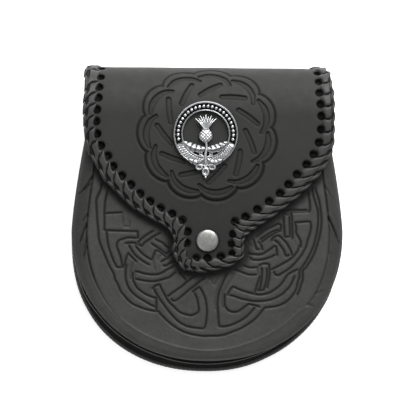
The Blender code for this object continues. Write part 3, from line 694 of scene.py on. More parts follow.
# How strong the crease is pressed at heights on either side, in millimetres
LEFT_CREASE = ((-72.0, 0.2), (-40.0, 1.0))
RIGHT_CREASE = ((-62.0, 0.2), (-56.0, 0.65), (-4.0, 0.75), (4.0, 1.0))
SIDE_SHADE = 0.42                      # painted shade on the border's sides, away from the light
SIDE_SHADE_Y, SIDE_SHADE_OVER = -58, 34                # millimetres: from this height, fully over so many
FACE_MARK_SHADE = 0.88
RIM_ROWS = np.array((0.5, 1.1, 2.0)) * MM              # rows of points just inside the crease
FACE_STEP, FACE_GAP = 1.6 * MM, 1.2 * MM
INSIDE_STEP, INSIDE_GAP = 4.0 * MM, 2.4 * MM
LIP_ROWS, LIP_SHARE = 9, 0.15          # the last rows, and their share of the way
WALL_SHADE_FROM, WALL_SHADE_FULL = 0.05, 0.17        # painted shade on the wall: where it starts and is full, as shares of the way down
SHADE_START, SHADE_END = 5.0 * MM, 8.5 * MM            # painted shadow of the flap's lacing on the face

# The knotwork as it is seen in the picture: pixel columns and rows along each pressed line
FACE_OUTLINE = (
    ((102, 184.2), (100.3, 190.4), (97.8, 195.8), (96.1, 200.8), (96.3, 207), (96.6, 213.2),
     (97.4, 223.6), (98.2, 232), (98.6, 238.2), (100.7, 245.7), (104, 253.6), (106.1, 258.9),
     (109.4, 266.4), (111.9, 270.8), (113.9, 274.7), (114.9, 279.5), (116.3, 281.7),
     (118.2, 285.6), (120.6, 291.3), (123.8, 295.3), (127.7, 300), (132.5, 304), (137.6, 306.4),
     (143.5, 308.7), (149.5, 310.3), (155.4, 311.3), (158.3, 311.4)),
    ((158.3, 311.4), (160.9, 314.7), (162.8, 316.6), (168.4, 322.2), (175.2, 327.3),
     (182.9, 331.6), (190.2, 334.1), (197.9, 335.6), (203.4, 336.3), (209.8, 336.1),
     (217, 336.1), (223.7, 335.1), (231.9, 332.2), (240.2, 328.9), (248.1, 324.3),
     (254.5, 319.6), (259.9, 313.6), (264.5, 308)),
    ((264.5, 308), (270.9, 307.2), (277.1, 306.2), (283.3, 303.7), (287.5, 300.8),
     (291.6, 296.7), (294.9, 291.7), (296.6, 287.5), (297.4, 283.4), (299, 278),
     (299.5, 271.4), (300.2, 269.8), (302.4, 267.2), (304.8, 263.5), (307.8, 258.5),
     (310.7, 252.7), (313.6, 245.7), (315.6, 238.2), (317.3, 229.5), (318.1, 219.5),
     (317.7, 211.2), (316, 205), (314, 198.7), (311.9, 189.2)),
    ((315.2, 189.2), (317.3, 195.4), (319.4, 202.9), (320.6, 211.2), (321.4, 219.5),
     (321, 227.8), (319.4, 237), (317.3, 244.4), (314.8, 251.9), (312.3, 257.7), (309, 263.1),
     (305.7, 268.1), (302.8, 271.4), (302.6, 279.7), (301.1, 284.5), (299.5, 290.4),
     (297.4, 294.6)),
)
LEFT_KNOT = (
    ((107.3, 192.5), (106.1, 196.7), (104.9, 202.9), (104.6, 207.9), (104.3, 214),
     (104.4, 230.4)),
    ((105, 213.6), (113, 213), (121.8, 212.4)),
    ((104.4, 230.4), (116.9, 230.9), (129.3, 231.3), (137.6, 231.5)),
    ((137.6, 231.5), (138, 238.1)),
    ((136, 238.1), (128.1, 237.7), (122.7, 239.2), (119, 240.6), (116.9, 243.6),
     (116.9, 247.3), (118.9, 252.7), (120.6, 257.7), (121.9, 264.3), (123.1, 267.2)),
    ((106.5, 232), (107.3, 240.3), (108.6, 247.3), (111.1, 254.8), (113.1, 260.2),
     (115.2, 264.3), (116.9, 267.2), (120.2, 267.4), (123.1, 267.2)),
    ((126.4, 243.4), (129.3, 243), (134.3, 243), (135.7, 243.8)),
    ((138, 242.4), (141.8, 238.6), (146.7, 234.9), (150.5, 232.4), (152.6, 231.2)),
    ((138.9, 244.9), (141.7, 246.2)),
    ((141.7, 246.2), (143.8, 243.6), (146, 241.7), (149.5, 239.5), (152.1, 237.4),
     (155.8, 235.3), (159.4, 233.4)),
    ((129.3, 246.1), (131.4, 250.2), (134.3, 254.4), (138.4, 258.1), (143.8, 261.9),
     (148.8, 264.8)),
    ((136.2, 247.2), (138.4, 249.7), (142, 253.6), (146.5, 257), (151.7, 260)),
    ((151.7, 260), (153.5, 255.7), (154.9, 252.1), (156.5, 250.6), (158.8, 251.6),
     (162.9, 254.4), (165.7, 256.6)),
    ((135.9, 261.4), (131.8, 257.3), (128.1, 253.6)),
    ((128.1, 253.6), (126.4, 256.9), (125.2, 261), (124.5, 265.2), (123.1, 267.2)),
    ((126.4, 265.2), (125.6, 269.3), (125.4, 273.5), (125.5, 277.9), (126.5, 282.5),
     (128.3, 287.3), (131.7, 292.1), (137.6, 297.3), (143.5, 300.8), (149.5, 304.4),
     (154.5, 306.7)),
    ((132.6, 273), (132.7, 278.3), (134.1, 282.6), (136.8, 287.5), (141.6, 291.7),
     (146.7, 295), (152.4, 297.3), (156.2, 298)),
    ((156.2, 298), (156.3, 309.5)),
    ((136, 271.6), (139.7, 272.4), (144.5, 273.8), (150.6, 274.7), (157, 274.5), (162, 272.9),
     (167.2, 269.8), (172.4, 267)),
    ((135.3, 279), (140.7, 280.2), (147.5, 281.3), (153.4, 281.5), (158.5, 280.8),
     (163.8, 279.2), (168.9, 277.5), (172.4, 274.9), (174.9, 272.8)),
    ((151.8, 243.9), (155.9, 246.6), (160.1, 249.5), (163.9, 252.3), (166.4, 254.3)),
    ((166.4, 254.3), (169.3, 251.5)),
    ((155.6, 239.4), (160.1, 241.7), (162.6, 242.9), (165.8, 246.1), (168.7, 248.4)),
    ((161.5, 261.6), (164.3, 260), (167.4, 258.2), (170.9, 255.5), (172.2, 254.1)),
    ((163.4, 265.9), (166.4, 265.5), (168.9, 263.8), (172.4, 262.1)),
    ((168.1, 296.3), (174.9, 291.2), (181.8, 286.5), (186, 282.6), (190.3, 279.2),
     (193.3, 277.1)),
    ((171.5, 299.3), (173.2, 301), (175.8, 300.6), (181.3, 296.7), (187.7, 291.2),
     (193.7, 286.5), (199.7, 281.3), (204.8, 277.9)),
    ((180, 272.8), (185.6, 279.6)),
    ((152.3, 288.6), (155.3, 286), (159.5, 284.7)),
    ((154.1, 289.6), (155.7, 292.9), (158.7, 297.8), (163.8, 304.9), (170, 313),
     (177.4, 320.9), (184.2, 325.2), (190.6, 327.3), (197, 328.2), (203, 328.6), (205.1, 326),
     (206, 321.3), (206.9, 312.3), (206.4, 305.5), (205.6, 300.1), (203.7, 295),
     (201.2, 289.8), (198.9, 287.4)),
    ((198.9, 287.4), (195.4, 289.9), (192.9, 292)),
    ((159.5, 284.7), (161.7, 289.4), (164.6, 294.9), (168.2, 301.1), (173.8, 307),
     (179.9, 312.4), (185, 314.5), (191, 315.6), (195.3, 314.1), (198.3, 311.5), (198.5, 307),
     (197.6, 302), (196.5, 297.6), (194.9, 293.9)),
)
RIGHT_KNOT = (
    ((307.8, 192.5), (309, 198.7), (309.8, 205), (309.8, 210.3), (308.6, 212)),
    ((282.9, 211.2), (287, 210.8), (293.2, 210.3), (299.5, 210.3), (306.5, 210.3)),
    ((283.3, 216.6), (283.7, 223.6), (284.3, 231.9), (284.9, 237.3)),
    ((284.9, 237.3), (289.5, 236.9)),
    ((289.3, 217.4), (289.7, 227), (289.9, 236)),
    ((291.2, 213.2), (292, 223.6), (292.4, 237.7)),
    ((294.9, 222.8), (299.5, 222.4), (305.7, 221.9), (310.2, 221.9)),
    ((294.9, 222.8), (296.1, 227.8), (296.1, 233.1), (299, 238.2), (300.7, 242),
     (300.7, 246.9)),
    ((310.2, 221.9), (310.9, 227.8), (309.6, 234), (307.3, 241.5), (306.1, 246.1),
     (304, 250.7), (301.5, 255.2), (298.2, 259.4), (294.1, 264.3), (289.1, 268.9),
     (282.9, 273), (277.9, 275.7)),
    ((277.9, 275.7), (275.4, 274.7), (273.8, 272.2)),
    ((271.3, 269.7), (276.7, 267.2), (282, 264.3), (287.9, 261), (293.2, 256.9),
     (296.6, 252.7), (298.2, 249.8), (299.5, 245.7)),
    ((260.3, 239.5), (265.2, 236.3), (270.2, 233.2), (275, 231), (279, 230.2)),
    ((261.3, 242.4), (266.6, 238.5), (271.6, 235.4), (276.3, 232.5), (280.4, 231)),
    ((257.1, 236.5), (262.1, 232.3), (267.5, 228.9), (274, 225.9), (278.3, 224.2),
     (280.8, 225.6), (280.6, 229.5)),
    ((271.6, 240.1), (273.1, 238), (277, 235.9), (279.3, 236.2), (281.8, 238.2)),
    ((274.6, 240.6), (278.5, 243.4), (281.2, 246.9), (283.6, 250.4), (285.3, 254.9),
     (286.6, 256.5)),
    ((286.6, 256.5), (288.7, 255.2)),
    ((283.6, 240.2), (286.5, 243.4), (289.1, 247.8), (291.2, 251.9), (292, 255.2)),
    ((248.8, 254), (253.9, 254.5), (258.5, 254.8), (262, 254.4), (265.7, 252.3),
     (270.2, 249.4), (274.1, 246.6), (276, 246.8)),
    ((276, 246.8), (276.7, 250.8), (276.9, 255.1)),
    ((250.6, 258.6), (252.7, 259.9), (258, 260.3), (263.4, 259.6), (268.4, 258.1),
     (271.7, 256.9), (274.6, 255.2)),
    ((253.3, 240.3), (255.2, 245.1), (256.5, 249.2), (258.7, 249.5)),
    ((258.7, 242.3), (261.1, 245.4), (262.4, 249.7)),
    ((259.5, 265.4), (263.4, 263.9), (268, 264.3), (269.2, 265.2)),
    ((269.2, 265.2), (269.2, 269.3), (269.4, 275.5), (268.4, 281.8), (267.1, 287.6)),
    ((266.9, 269.3), (266.9, 275.5), (266.5, 279.7), (265.5, 283.8), (264.2, 288),
     (263.6, 290)),
    ((263.6, 290), (260.5, 290.6), (257.7, 290.6)),
    ((261.7, 268.5), (262, 272), (261.6, 277), (261, 283.1), (259.8, 288.5), (257.7, 290.6)),
    ((259.8, 276.9), (257.7, 283.1), (256, 288.5), (254.8, 292.2)),
    ((227.4, 295.1), (228.7, 292.2), (230.8, 288.9), (232.8, 287)),
    ((232.8, 287), (235.3, 287.7), (239.5, 289.7), (245.4, 291.8), (252, 293.6),
     (258.4, 294.8), (262.4, 294.6), (268.6, 293.3), (274.4, 290), (279, 286.4),
     (282.9, 281.9), (285.4, 278), (287, 275.7), (289.1, 273.9), (293.7, 271.4),
     (297.4, 269.7)),
    ((230.3, 295.5), (235.3, 296.8), (241.9, 299.2), (246, 300), (252.2, 301.2),
     (260.5, 301.4), (268.8, 300.4), (275, 298.3), (281.4, 294.9), (286.2, 290.6),
     (289.7, 286.6), (292, 282.2), (294.5, 276.8)),
    ((244.4, 266.1), (247.8, 267.3), (251.1, 267.8), (257.3, 267.5)),
    ((234.5, 269.8), (239.5, 271.5), (243.6, 273.1), (247.8, 274.6), (251.9, 275),
     (256, 274.8)),
    ((227, 274), (224.9, 277.7), (222, 284.3), (220, 289.3), (218.5, 294.5), (217.4, 302.5),
     (217.8, 311), (218.5, 320.2), (219.1, 326.4)),
    ((219.1, 326.4), (223.2, 326.8), (229.9, 325.6), (236.1, 323.1), (242.3, 319.8),
     (248.1, 315.2), (251.7, 311.5), (254.3, 308.2)),
    ((224.7, 294.5), (224.5, 301.6), (224.9, 305.7), (227.2, 309.6), (230.5, 311.7),
     (234.4, 312.3), (238, 311.6), (242, 309.1), (245.7, 306.2), (249.1, 304.1)),
    ((249.1, 304.1), (251.4, 304.9), (255.2, 305.6), (258.7, 306.8)),
)
FAINT_LINES = (
    ((122.9, 216.6), (122.9, 223.6)), ((129.7, 219.5), (129.3, 226.5)),
    ((124, 226.3), (129, 226.7)), ((153.8, 261), (153.8, 265.2), (155, 268.9)),
    ((161.7, 254.7), (159.1, 256.6), (157.5, 259.8)),
    ((133, 263.1), (131.4, 266.4), (130.6, 270.1), (130.6, 278.9)),
    ((135.1, 279), (134.2, 276), (135.1, 272.5)), ((293.2, 212.8), (307.8, 212.4)),
    ((283.3, 215.3), (287.9, 215.3)), ((249.2, 243.5), (251.4, 246.7)),
    ((257.7, 268.6), (258.1, 274.4)),
    ((222.9, 277.7), (220, 283.5), (217.3, 290), (215.8, 297.5), (215.4, 304), (215.3, 309.3)),
    ((233.7, 274.4), (231.2, 278.9), (227.9, 283.9), (224.9, 289.3), (223, 293), (222, 297.4),
     (221.6, 303.6), (223.2, 307.7)),
    ((208.4, 277.7), (211.7, 281), (214.2, 284.3), (216.7, 280.2)),
)
LINE_WIDTH, LINE_DEPTH = 1.12 * MM, 0.85 * MM
FAINT_SHARE = 0.4
LINE_STEP, MARK_STEP = 0.5 * MM, 0.15 * MM

pressed_lines, line_marks, line_strength = [], [], []
for group, strength in ((FACE_OUTLINE, 1.0), (LEFT_KNOT, 1.0), (RIGHT_KNOT, 1.0), (FAINT_LINES, FAINT_SHARE)):
    for line in group:
        drawn = smooth_line(charted(line, face_z)[:, :2], LINE_STEP)
        pressed_lines.append(drawn)
        line_marks.append(smooth_line(drawn, MARK_STEP))
        line_strength += [strength] * len(line_marks[-1])
line_marks, line_strength = np.vstack(line_marks), np.array(line_strength)


def spine_y(y):
    """The height on the face's middle line that a point of the crease is drawn from."""
    return np.where(y > WIDEST_Y, y, WIDEST_Y + 0.45 * (y - WIDEST_Y))


def pan_outline(side, bottom, left, right, cuts, lip):
    """The panel's outline at one section."""
    roundness = np.interp(ROUND_PLACES, (-1, 1), (left, right)) - cuts * ROUND_CUTS
    roundness += lip * (LIP_ROUNDNESS - roundness)
    return body_outline(side * MM, bottom * MM, PAN_TOP_Y, SIDE_STEPS, ROUND_STEPS, roundness, ROUND_PLACES)


def pan_rows(table):
    """Rows of points from the crease to the lip."""
    crease_high = face_z(pan_outline(*table[0, :2], *table[0, 3:])[:, 1])
    rows = []
    for side, bottom, drop, *shape in table:
        outline = pan_outline(side, bottom, *shape)
        rows.append(np.column_stack((outline, crease_high + drop * (LIP_TOP_Z - crease_high))))
    return np.array(rows)


share = np.linspace(0, 1, PAN_ROWS - LIP_ROWS) ** ROW_CROWDING * (1 - LIP_SHARE)
share = np.concatenate((share, np.linspace(1 - LIP_SHARE, 1, LIP_ROWS + 1)[1:]))
sections = curved(PAN_SECTIONS, 40)
steps = np.linalg.norm(np.diff(sections[:, :3] * (1, 1, WALL_FALL), axis=0), axis=1)
runs = np.concatenate(([0], np.cumsum(steps)))
sections = np.column_stack([np.interp(share * runs[-1], runs, column) for column in sections.T])
rows = pan_rows(sections)
crease_y = rows[0, :, 1]

# Even offsets of the wall for the inside, worked out before the pleats are pressed
from_spine = np.column_stack((rows[0, :, 0], crease_y - spine_y(crease_y), np.zeros(len(crease_y))))
stack = np.concatenate(((rows[0] - 0.02 * from_spine)[None], rows))
along = np.gradient(stack, axis=1)
down = np.diff(stack, axis=0)
flats = np.cross(along[:-1], down)
flats /= np.linalg.norm(flats, axis=2)[:, :, None]
away = np.concatenate((rows[:, :, :2], np.full((*rows.shape[:2], 1), 0.05)), axis=2)
flats *= np.sign((flats * away).sum(axis=2))[:, :, None]
before, after = flats, np.concatenate((flats[1:], flats[-1:]))
middle = before + after
middle /= np.linalg.norm(middle, axis=2)[:, :, None]
miter = 1 / np.clip((middle * before).sum(axis=2), 0.6, 1)
inner_rows = rows - middle * (PAN_WALL * miter)[:, :, None]
inner_rows[-1, :, 2] = LIP_TOP_Z - PAN_WALL
inner_rows[-1, :, :2] = rows[-1, :, :2]


def crease_strength(x, y):
    """How strong the crease is pressed next to points of the panel."""
    left, right = (np.interp(y / MM, *np.array(table).T) for table in (LEFT_CREASE, RIGHT_CREASE))
    return np.where(x < 0, left, right)


def from_segment(across, up, start, end):
    """Distance from a segment, and the share of the way along it, at points (across, up)."""
    long, high = end[0] - start[0], end[1] - start[1]
    way = np.clip(((across - start[0]) * long + (up - start[1]) * high) / (long ** 2 + high ** 2), 0, 1)
    return np.hypot(across - start[0] - way * long, up - start[1] - way * high), way


out_from_crease = np.repeat(share[:, None] * runs[-1] * MM, rows.shape[1], axis=1)
# Painted shade on the sides of the border
side_height = np.clip((rows[:, :, 1] / MM - SIDE_SHADE_Y) / SIDE_SHADE_OVER, 0, 1)
pan_tooled_and_shaded = SIDE_SHADE * side_height * np.clip(out_from_crease / (2.5 * MM), 0, 1)
# Painted shade on the panel's wall, down to the lip
wall_shade = np.clip((sections[:, 2] - WALL_SHADE_FROM) / (WALL_SHADE_FULL - WALL_SHADE_FROM), 0, 1)
pan_tooled_and_shaded = np.maximum(pan_tooled_and_shaded, wall_shade[:, None])
pressed = np.zeros(rows.shape[:2])
for side, start_y, start_out, end_y, end_out, depth in PLEATS:
    away, way = from_segment(out_from_crease, rows[:, :, 1], (start_out * MM, start_y * MM),
                             (end_out * MM, end_y * MM))
    press = press_depth(away, PLEAT_WIDTH * (1 - PLEAT_NARROWS * way)) * (side * rows[:, :, 0] > 0)
    pressed += depth * MM * press * (1 - PLEAT_FADES * way)
    pan_tooled_and_shaded = np.maximum(pan_tooled_and_shaded, np.clip(press * depth, 0, 1))
crease_press = press_depth(out_from_crease, CREASE_WIDTH) * crease_strength(rows[:, :, 0], rows[:, :, 1])
pressed += CREASE_DEPTH * crease_press
pan_tooled_and_shaded = np.maximum(pan_tooled_and_shaded, np.clip(crease_press, 0, 1))
rows -= middle * pressed[:, :, None]
ridge = RIDGE_RISE * (1 - crease_strength(rows[0, :, 0], rows[0, :, 1]))
rows[:, :, 2] += ridge * np.clip(1 - out_from_crease / RIDGE_WIDTH, 0, 1) ** 2

crease_loop = rows[0, :, :2]
mouth_x = np.linspace(crease_loop[-1, 0], crease_loop[0, 0], MOUTH_STEPS + 2)[1:-1]
mouth = np.column_stack((mouth_x, np.full(MOUTH_STEPS, PAN_TOP_Y)))
stud_hole = circle((SNAP_X, SNAP_Y), STUD_HOLE, 16)
face_loops = [np.vstack((crease_loop, mouth)), stud_hole]
fine = np.vstack([beside(line, TOOL_ROWS) for line in pressed_lines])
to_spine = spine_y(crease_y)[:, None] * (0, 1) - crease_loop
far = np.linalg.norm(to_spine, axis=1)
rim_rows = np.vstack([crease_loop + to_spine * (step / far)[:, None] for step in RIM_ROWS])
fixed = np.vstack(face_loops)
fine = thinned(np.vstack((rim_rows, fine)), FACE_TOOL_GAP, fixed)
taken = np.vstack((fixed, fine))
fill = lattice((-FACE_RIGHT, FACE_LOW), (FACE_RIGHT, PAN_TOP_Y - 1 * MM), FACE_STEP)
fill = thinned(fill, FACE_GAP, taken)
spots = np.vstack((fine, fill))
spots = spots[inside(spots, face_loops[0]) & ~inside(spots, stud_hole)]
flat, face_triangles, face_rims = cut_out(face_loops, spots)

away, which = nearest(flat, line_marks)
strength = line_strength[which]
pressing_and_shade = press_depth(away, LINE_WIDTH) * strength
from_crease = nearest(flat, crease_loop)[0]
height = face_z(flat[:, 1]) - LINE_DEPTH * pressing_and_shade
strong = crease_strength(flat[:, 0], flat[:, 1])
crease_press = press_depth(from_crease, CREASE_WIDTH) * strong
height += RIDGE_RISE * (1 - strong) * np.clip(1 - from_crease / RIDGE_INWARDS, 0, 1) ** 1.5
height -= DIP_DEPTH * (1 - strong) * np.exp(-((from_crease - DIP_AT) / DIP_WIDTH) ** 2)
height -= CREASE_DEPTH * crease_press
pressing_and_shade = np.maximum(pressing_and_shade, crease_press)
# Painted shadow: the face is painted dark beside the flap's lacing
from_lacing = nearest(flat, on_sheet(lace_edge, 0.0)[::4, :2])[0]
pressing_and_shade = np.maximum(pressing_and_shade, np.clip((SHADE_END - from_lacing) / (SHADE_END - SHADE_START), 0, 1))
waves = np.array([noise.noise((x * FACE_WAVES, y * FACE_WAVES, 8.4)) for x, y in flat])
height += FACE_WAVE_RISE * waves * np.clip(from_crease / FACE_WAVE_FADE, 0, 1)
height[:len(crease_loop)] = rows[0, :, 2]
face_points = np.column_stack((flat, height))

coarse = lattice((-FACE_RIGHT, FACE_LOW), (FACE_RIGHT, PAN_TOP_Y - 2 * MM), INSIDE_STEP)
coarse = thinned(coarse, INSIDE_GAP, fixed)
coarse = coarse[inside(coarse, face_loops[0]) & ~inside(coarse, stud_hole)]
inner_flat, inner_triangles, _ = cut_out(face_loops, coarse)
inner_points = np.column_stack((inner_flat, face_z(inner_flat[:, 1]) - PAN_WALL))
columns = rows.shape[1]
inner_points[:columns] = inner_rows[0]
inner_points[columns:len(face_loops[0]), 1] = PAN_TOP_Y

points, faces, marks = [], [], []


def add_skin(new_points, new_faces, flipped, new_marks):
    """Adds points and faces to the panel and returns the number of its first point."""
    first = sum(len(p) for p in points)
    points.append(new_points)
    marks.append(new_marks)
    for face in new_faces:
        face = tuple(int(first + n) for n in face)
        faces.append(face[::-1] if flipped else face)
    return first


outer_face = add_skin(face_points, face_triangles, False, np.clip(pressing_and_shade, 0, 1) * FACE_MARK_SHADE)
inner_face = add_skin(inner_points, inner_triangles, True, np.zeros(len(inner_points)))
grid = [(r * columns + c, r * columns + c + 1, (r + 1) * columns + c + 1, (r + 1) * columns + c)
        for r in range(PAN_ROWS - 1) for c in range(columns - 1)]
outer_wall = add_skin(rows.reshape(-1, 3), grid, False, pan_tooled_and_shaded.reshape(-1))
inner_wall = add_skin(inner_rows.reshape(-1, 3), grid, True, np.zeros(rows.shape[0] * columns))
for column in (0, columns - 1):
    for row in range(PAN_ROWS - 1):
        a, b = row * columns + column, (row + 1) * columns + column
        faces.append((outer_wall + a, outer_wall + b, inner_wall + b, inner_wall + a))
last = (PAN_ROWS - 1) * columns
for column in range(columns - 1):
    a, b = last + column, last + column + 1
    faces.append((outer_wall + a, outer_wall + b, inner_wall + b, inner_wall + a))
for a, b in face_rims:
    if a >= columns - 1:
        faces.append((outer_face + a, outer_face + b, inner_face + b, inner_face + a))
panel = plain_mesh("front_panel_leather", np.vstack(points), faces, np.concatenate(marks))
turned_out(panel, 38)
panel_leather = leather("panel_leather", (0.031, 0.031, 0.0297), (0.045, 0.045, 0.0434), 0.52)
panel.data.materials.append(panel_leather)
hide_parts("front_panel")
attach(panel, "root")

# ---- Edge welt --------------------------------------------------------------------------
# A strip of leather between the panel's lip and the back. It is painted paler than the other
# leather, a painted highlight that shows as a thin pale line outside the lip.

WELT_SIDE, WELT_DROP, WELT_WIDTH, WELT_THICK = 88.6 * MM, 87.7 * MM, 6.0 * MM, 1.6 * MM


def skinned(rings):
    """Points and faces of a skin over rings of equal count, capped at both ends."""
    rings = np.asarray(rings)
    length, count = rings.shape[:2]
    faces = [(r + c, r + (c + 1) % count, r + count + (c + 1) % count, r + count + c)
             for r in range(0, (length - 1) * count, count) for c in range(count)]
    faces += [tuple(range(count))[::-1], tuple((length - 1) * count + n for n in range(count))]
    return rings.reshape(-1, 3), faces


low = BACK_MID_Z + SHEET_THICK / 2 + GAP
outer, inner = (body_outline(WELT_SIDE - less, WELT_DROP - less, PAN_TOP_Y, 60, 180,
                             LIP_ROUNDNESS, ROUND_PLACES) for less in (0, WELT_WIDTH))
out = (outer - inner) / np.linalg.norm(outer - inner, axis=1)[:, None]
bend = np.linspace(-np.pi / 2, np.pi / 2, 9)
round_edge = [(WELT_THICK * 0.3 * (math.cos(b) - 1), WELT_THICK / 2 * (1 + math.sin(b))) for b in bend]
rings = []
for n in range(len(outer)):
    ring = [(*inner[n], low)]
    ring += [(*(outer[n] + out[n] * push), low + up) for push, up in round_edge]
    ring.append((*inner[n], low + WELT_THICK))
    rings.append(ring)
welt = plain_mesh("edge_welt_leather", *skinned(rings))
turned_out(welt, 50)
# Painted light: a paler copy of the leather
welt.data.materials.append(leather("welt_leather_painted_light", (0.075, 0.075, 0.071), (0.105, 0.104, 0.098), 0.35))
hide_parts("edge_welt")
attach(welt, "root")

# ---- Flap lacing ------------------------------------------------------------------------
# Flat black lace, about 6 mm wide, drawn through every hole and slanting forward to the edge,
# where each turn is plaited over the last into a rope of lobes. A stitch is modelled once in
# straight coordinates (along the edge, inwards, up) and laid round the flap by its own nodes.
# The lace was worked from the left: down the left side it leans the other way than after the
# tongue, so there are two kinds of stitch.

LACE_THICK = 1.15 * MM
LACE_GAP = 0.045                       # share of a pitch left open on either side of a strand
TOP_OF_SHEET = SHEET_THICK / 2
LEFT_STITCHES = len(left_holes) + 21   # the left kind, up to the tongue's lower left corner

# Lines across a strand on the flap, in millimetres from its own place on the edge: the first
# goes round its hole, the last lies along the edge
LEFT_LINES = (
    ((-5.2, 7.4), (-3.6, 7.1), (-2.5, 6.5), (-1.5, 5.6), (0.0, 5.05), (1.5, 5.5), (2.5, 6.4), (3.1, 7.4)),
    ((-5.4, 5.3), (0.0, 4.3), (2.9, 5.3)),
    ((-6.9, 3.4), (1.3, 3.4)),
    ((-8.4, 1.6), (-0.2, 1.6)),
    ((-8.3, 0.4), (-4.2, 0.3), (-3.0, -0.5), (0.1, -0.9)))
RIGHT_LINES = (
    ((-1.6, 5.2), (0.0, 5.05), (1.5, 5.5), (2.5, 6.4), (3.1, 7.3), (4.2, 7.6), (5.5, 7.2), (6.0, 5.9),
     (6.7, 5.2)),
    ((-1.9, 4.0), (2.5, 4.9), (6.4, 4.0)),
    ((-1.9, 2.6), (6.4, 2.6)),
    ((-1.3, 1.2), (7.0, 1.2)),
    ((0.0, 0.2), (8.3, 0.2)))
LEFT_TUCK = ((0.0, 1.0), (0.46, 1.0), (0.60, 0.0), (1.0, 0.1))     # share across, how far it dips
RIGHT_TUCK = ((0.0, 1.0), (0.20, 1.0), (0.42, 0.3), (0.85, 0.3), (1.0, 1.0))
LEFT_DIP, RIGHT_DIP = 0.86, 0.74       # share of the way out from the hole where they start to dip
STRAND_ROWS = (0, 0.015, 0.05, 0.10, 0.17, 0.26, 0.37, 0.48, 0.59, 0.69, 0.78, 0.85, 0.91, 0.96, 1.0)
HIDDEN_THICK = 0.7 * MM                # of the strand on the flap's underside


def closed_grid(top, low):
    """Points and faces of a closed shell between two grids of the same shape."""
    rows, columns = top.shape[:2]
    count = rows * columns
    faces = []
    for r in range(rows - 1):
        for c in range(columns - 1):
            a = r * columns + c
            faces.append((a, a + 1, a + columns + 1, a + columns))
            faces.append((count + a + columns, count + a + columns + 1, count + a + 1, count + a))
    rim = [*range(columns), *(r * columns + columns - 1 for r in range(1, rows))]
    rim += [*range(count - 2, count - columns - 1, -1), *(r * columns for r in range(rows - 2, 0, -1))]
    faces += [(a, count + a, count + b, b) for a, b in zip(rim, rim[1:] + rim[:1])]
    return np.vstack((top.reshape(-1, 3), low.reshape(-1, 3))), faces


def strand(lines, tuck, dip_from, side=1, thick=LACE_THICK):
    """A flat strand over lines across it: its sides are rounded, its inner end rolls over the
    hole's rim, and its outer end dips under the plait. With painted shade for each point: along
    its sides, at the hole, where it dips under the plait, and all over its underside."""
    across = 0.5 - 0.5 * np.cos(np.pi * np.linspace(0, 1, 15))
    shares = LACE_GAP + (1 - 2 * LACE_GAP) * across
    loft = curved([part_way(np.array(line) * MM, shares).ravel() for line in lines], 12)
    first_line = loft[0].reshape(-1, 2)
    at_hole = [np.linalg.norm(first_line - (n * HOLE_PITCH, HOLE_INSET), axis=1) for n in (-1, 0, 1)]
    at_hole = np.clip(1 - (np.min(at_hole, axis=0) - HOLE_RADIUS) / (0.5 * MM), 0, 1)
    crown = np.clip(1 - np.abs(2 * across - 1) ** 6, 0, 1) ** 0.5
    tucked = np.interp(across, *np.array(tuck).T)
    low_level = TOP_OF_SHEET - 0.4 * MM
    top, low, dark = [], [], []
    for v in STRAND_ROWS:
        spot = np.array([np.interp(v, np.linspace(0, 1, len(loft)), column) for column in loft.T])
        spot = spot.reshape(-1, 2)
        roll = math.sqrt(1 - max(0, 1 - v / 0.28) ** 2)
        dip = min(1, max(0, (v - dip_from) / (0.97 - dip_from))) ** 1.3
        swell = 1 + 0.22 * math.sin(math.pi * v)
        high = low_level + (0.45 * MM + thick * (0.1 + 0.9 * crown) * swell) * roll
        high = high - (high - low_level + 0.3 * MM) * tucked * dip
        if v == 0:
            spot = spot + at_hole[:, None] * (0, 0.35 * MM)
            high = high - 1.6 * MM * at_hole
        top.append(np.column_stack((spot, side * high)))
        low.append(np.column_stack((spot, np.minimum(high - 0.05 * MM, low_level) * side)))
        # Painted shade along the sides, where it dips and at the hole
        dark.append(np.clip((0.7 - crown) * 1.8, 0, 1) + dip * tucked * 1.5 + (v < 0.01) * 0.8)
    points, faces = closed_grid(np.array(top), np.array(low))
    dark = np.clip(np.ravel(dark), 0, 1)
    return points, faces, np.concatenate((dark, np.ones(len(dark))))


def rod(route, wide, thick, tilt, dark, sides=10):
    """A rounded strand along a route, swelling and thinning by rows of half width, half
    thickness and tilt about itself. Its far side, away from the light above and inside, is
    painted into shade, and the given rows darken it further."""
    steps = 3
    line = curved(np.array(route) * MM, steps)
    wide, thick, tilt, dark = (np.interp(np.linspace(0, 1, len(line)), np.linspace(0, 1, len(row)), row)
                               for row in (wide, thick, tilt, dark))
    ahead = np.gradient(line, axis=0)
    ahead /= np.linalg.norm(ahead, axis=1)[:, None]
    flat_way = np.cross((0, 0, 1), ahead)
    flat_way /= np.linalg.norm(flat_way, axis=1)[:, None]
    up_way = np.cross(ahead, flat_way)
    rings, shades = [], []
    for n, middle in enumerate(line):
        lean = math.radians(tilt[n])
        u = flat_way[n] * math.cos(lean) + up_way[n] * math.sin(lean)
        v = up_way[n] * math.cos(lean) - flat_way[n] * math.sin(lean)
        bend = 2 * np.pi * np.arange(sides) / sides
        broad, slim = np.cos(bend) * wide[n] * MM, np.sin(bend) * thick[n] * MM
        rings.append(middle + np.outer(broad, u) + np.outer(slim, v))
        # Painted shade on the side away from the light
        shades.append(np.clip(dark[n] + (0.45 - np.cos(bend - math.radians(60))) * 0.9, 0, 1))
    return *skinned(rings), np.ravel(shades)


def hole_leg():
    """The lace going down through the hole, from the outer rim to the inner one, in painted shade."""
    return rod(((0.0, 5.9, -0.9), (0.0, 6.6, -1.8), (0.0, 8.0, -2.5), (0.0, 9.4, -2.8)),
               (1.6, 1.9, 1.9, 1.9), (0.3, 0.4, 0.3, 0.3), (0, 0), (2.0, 2.0))


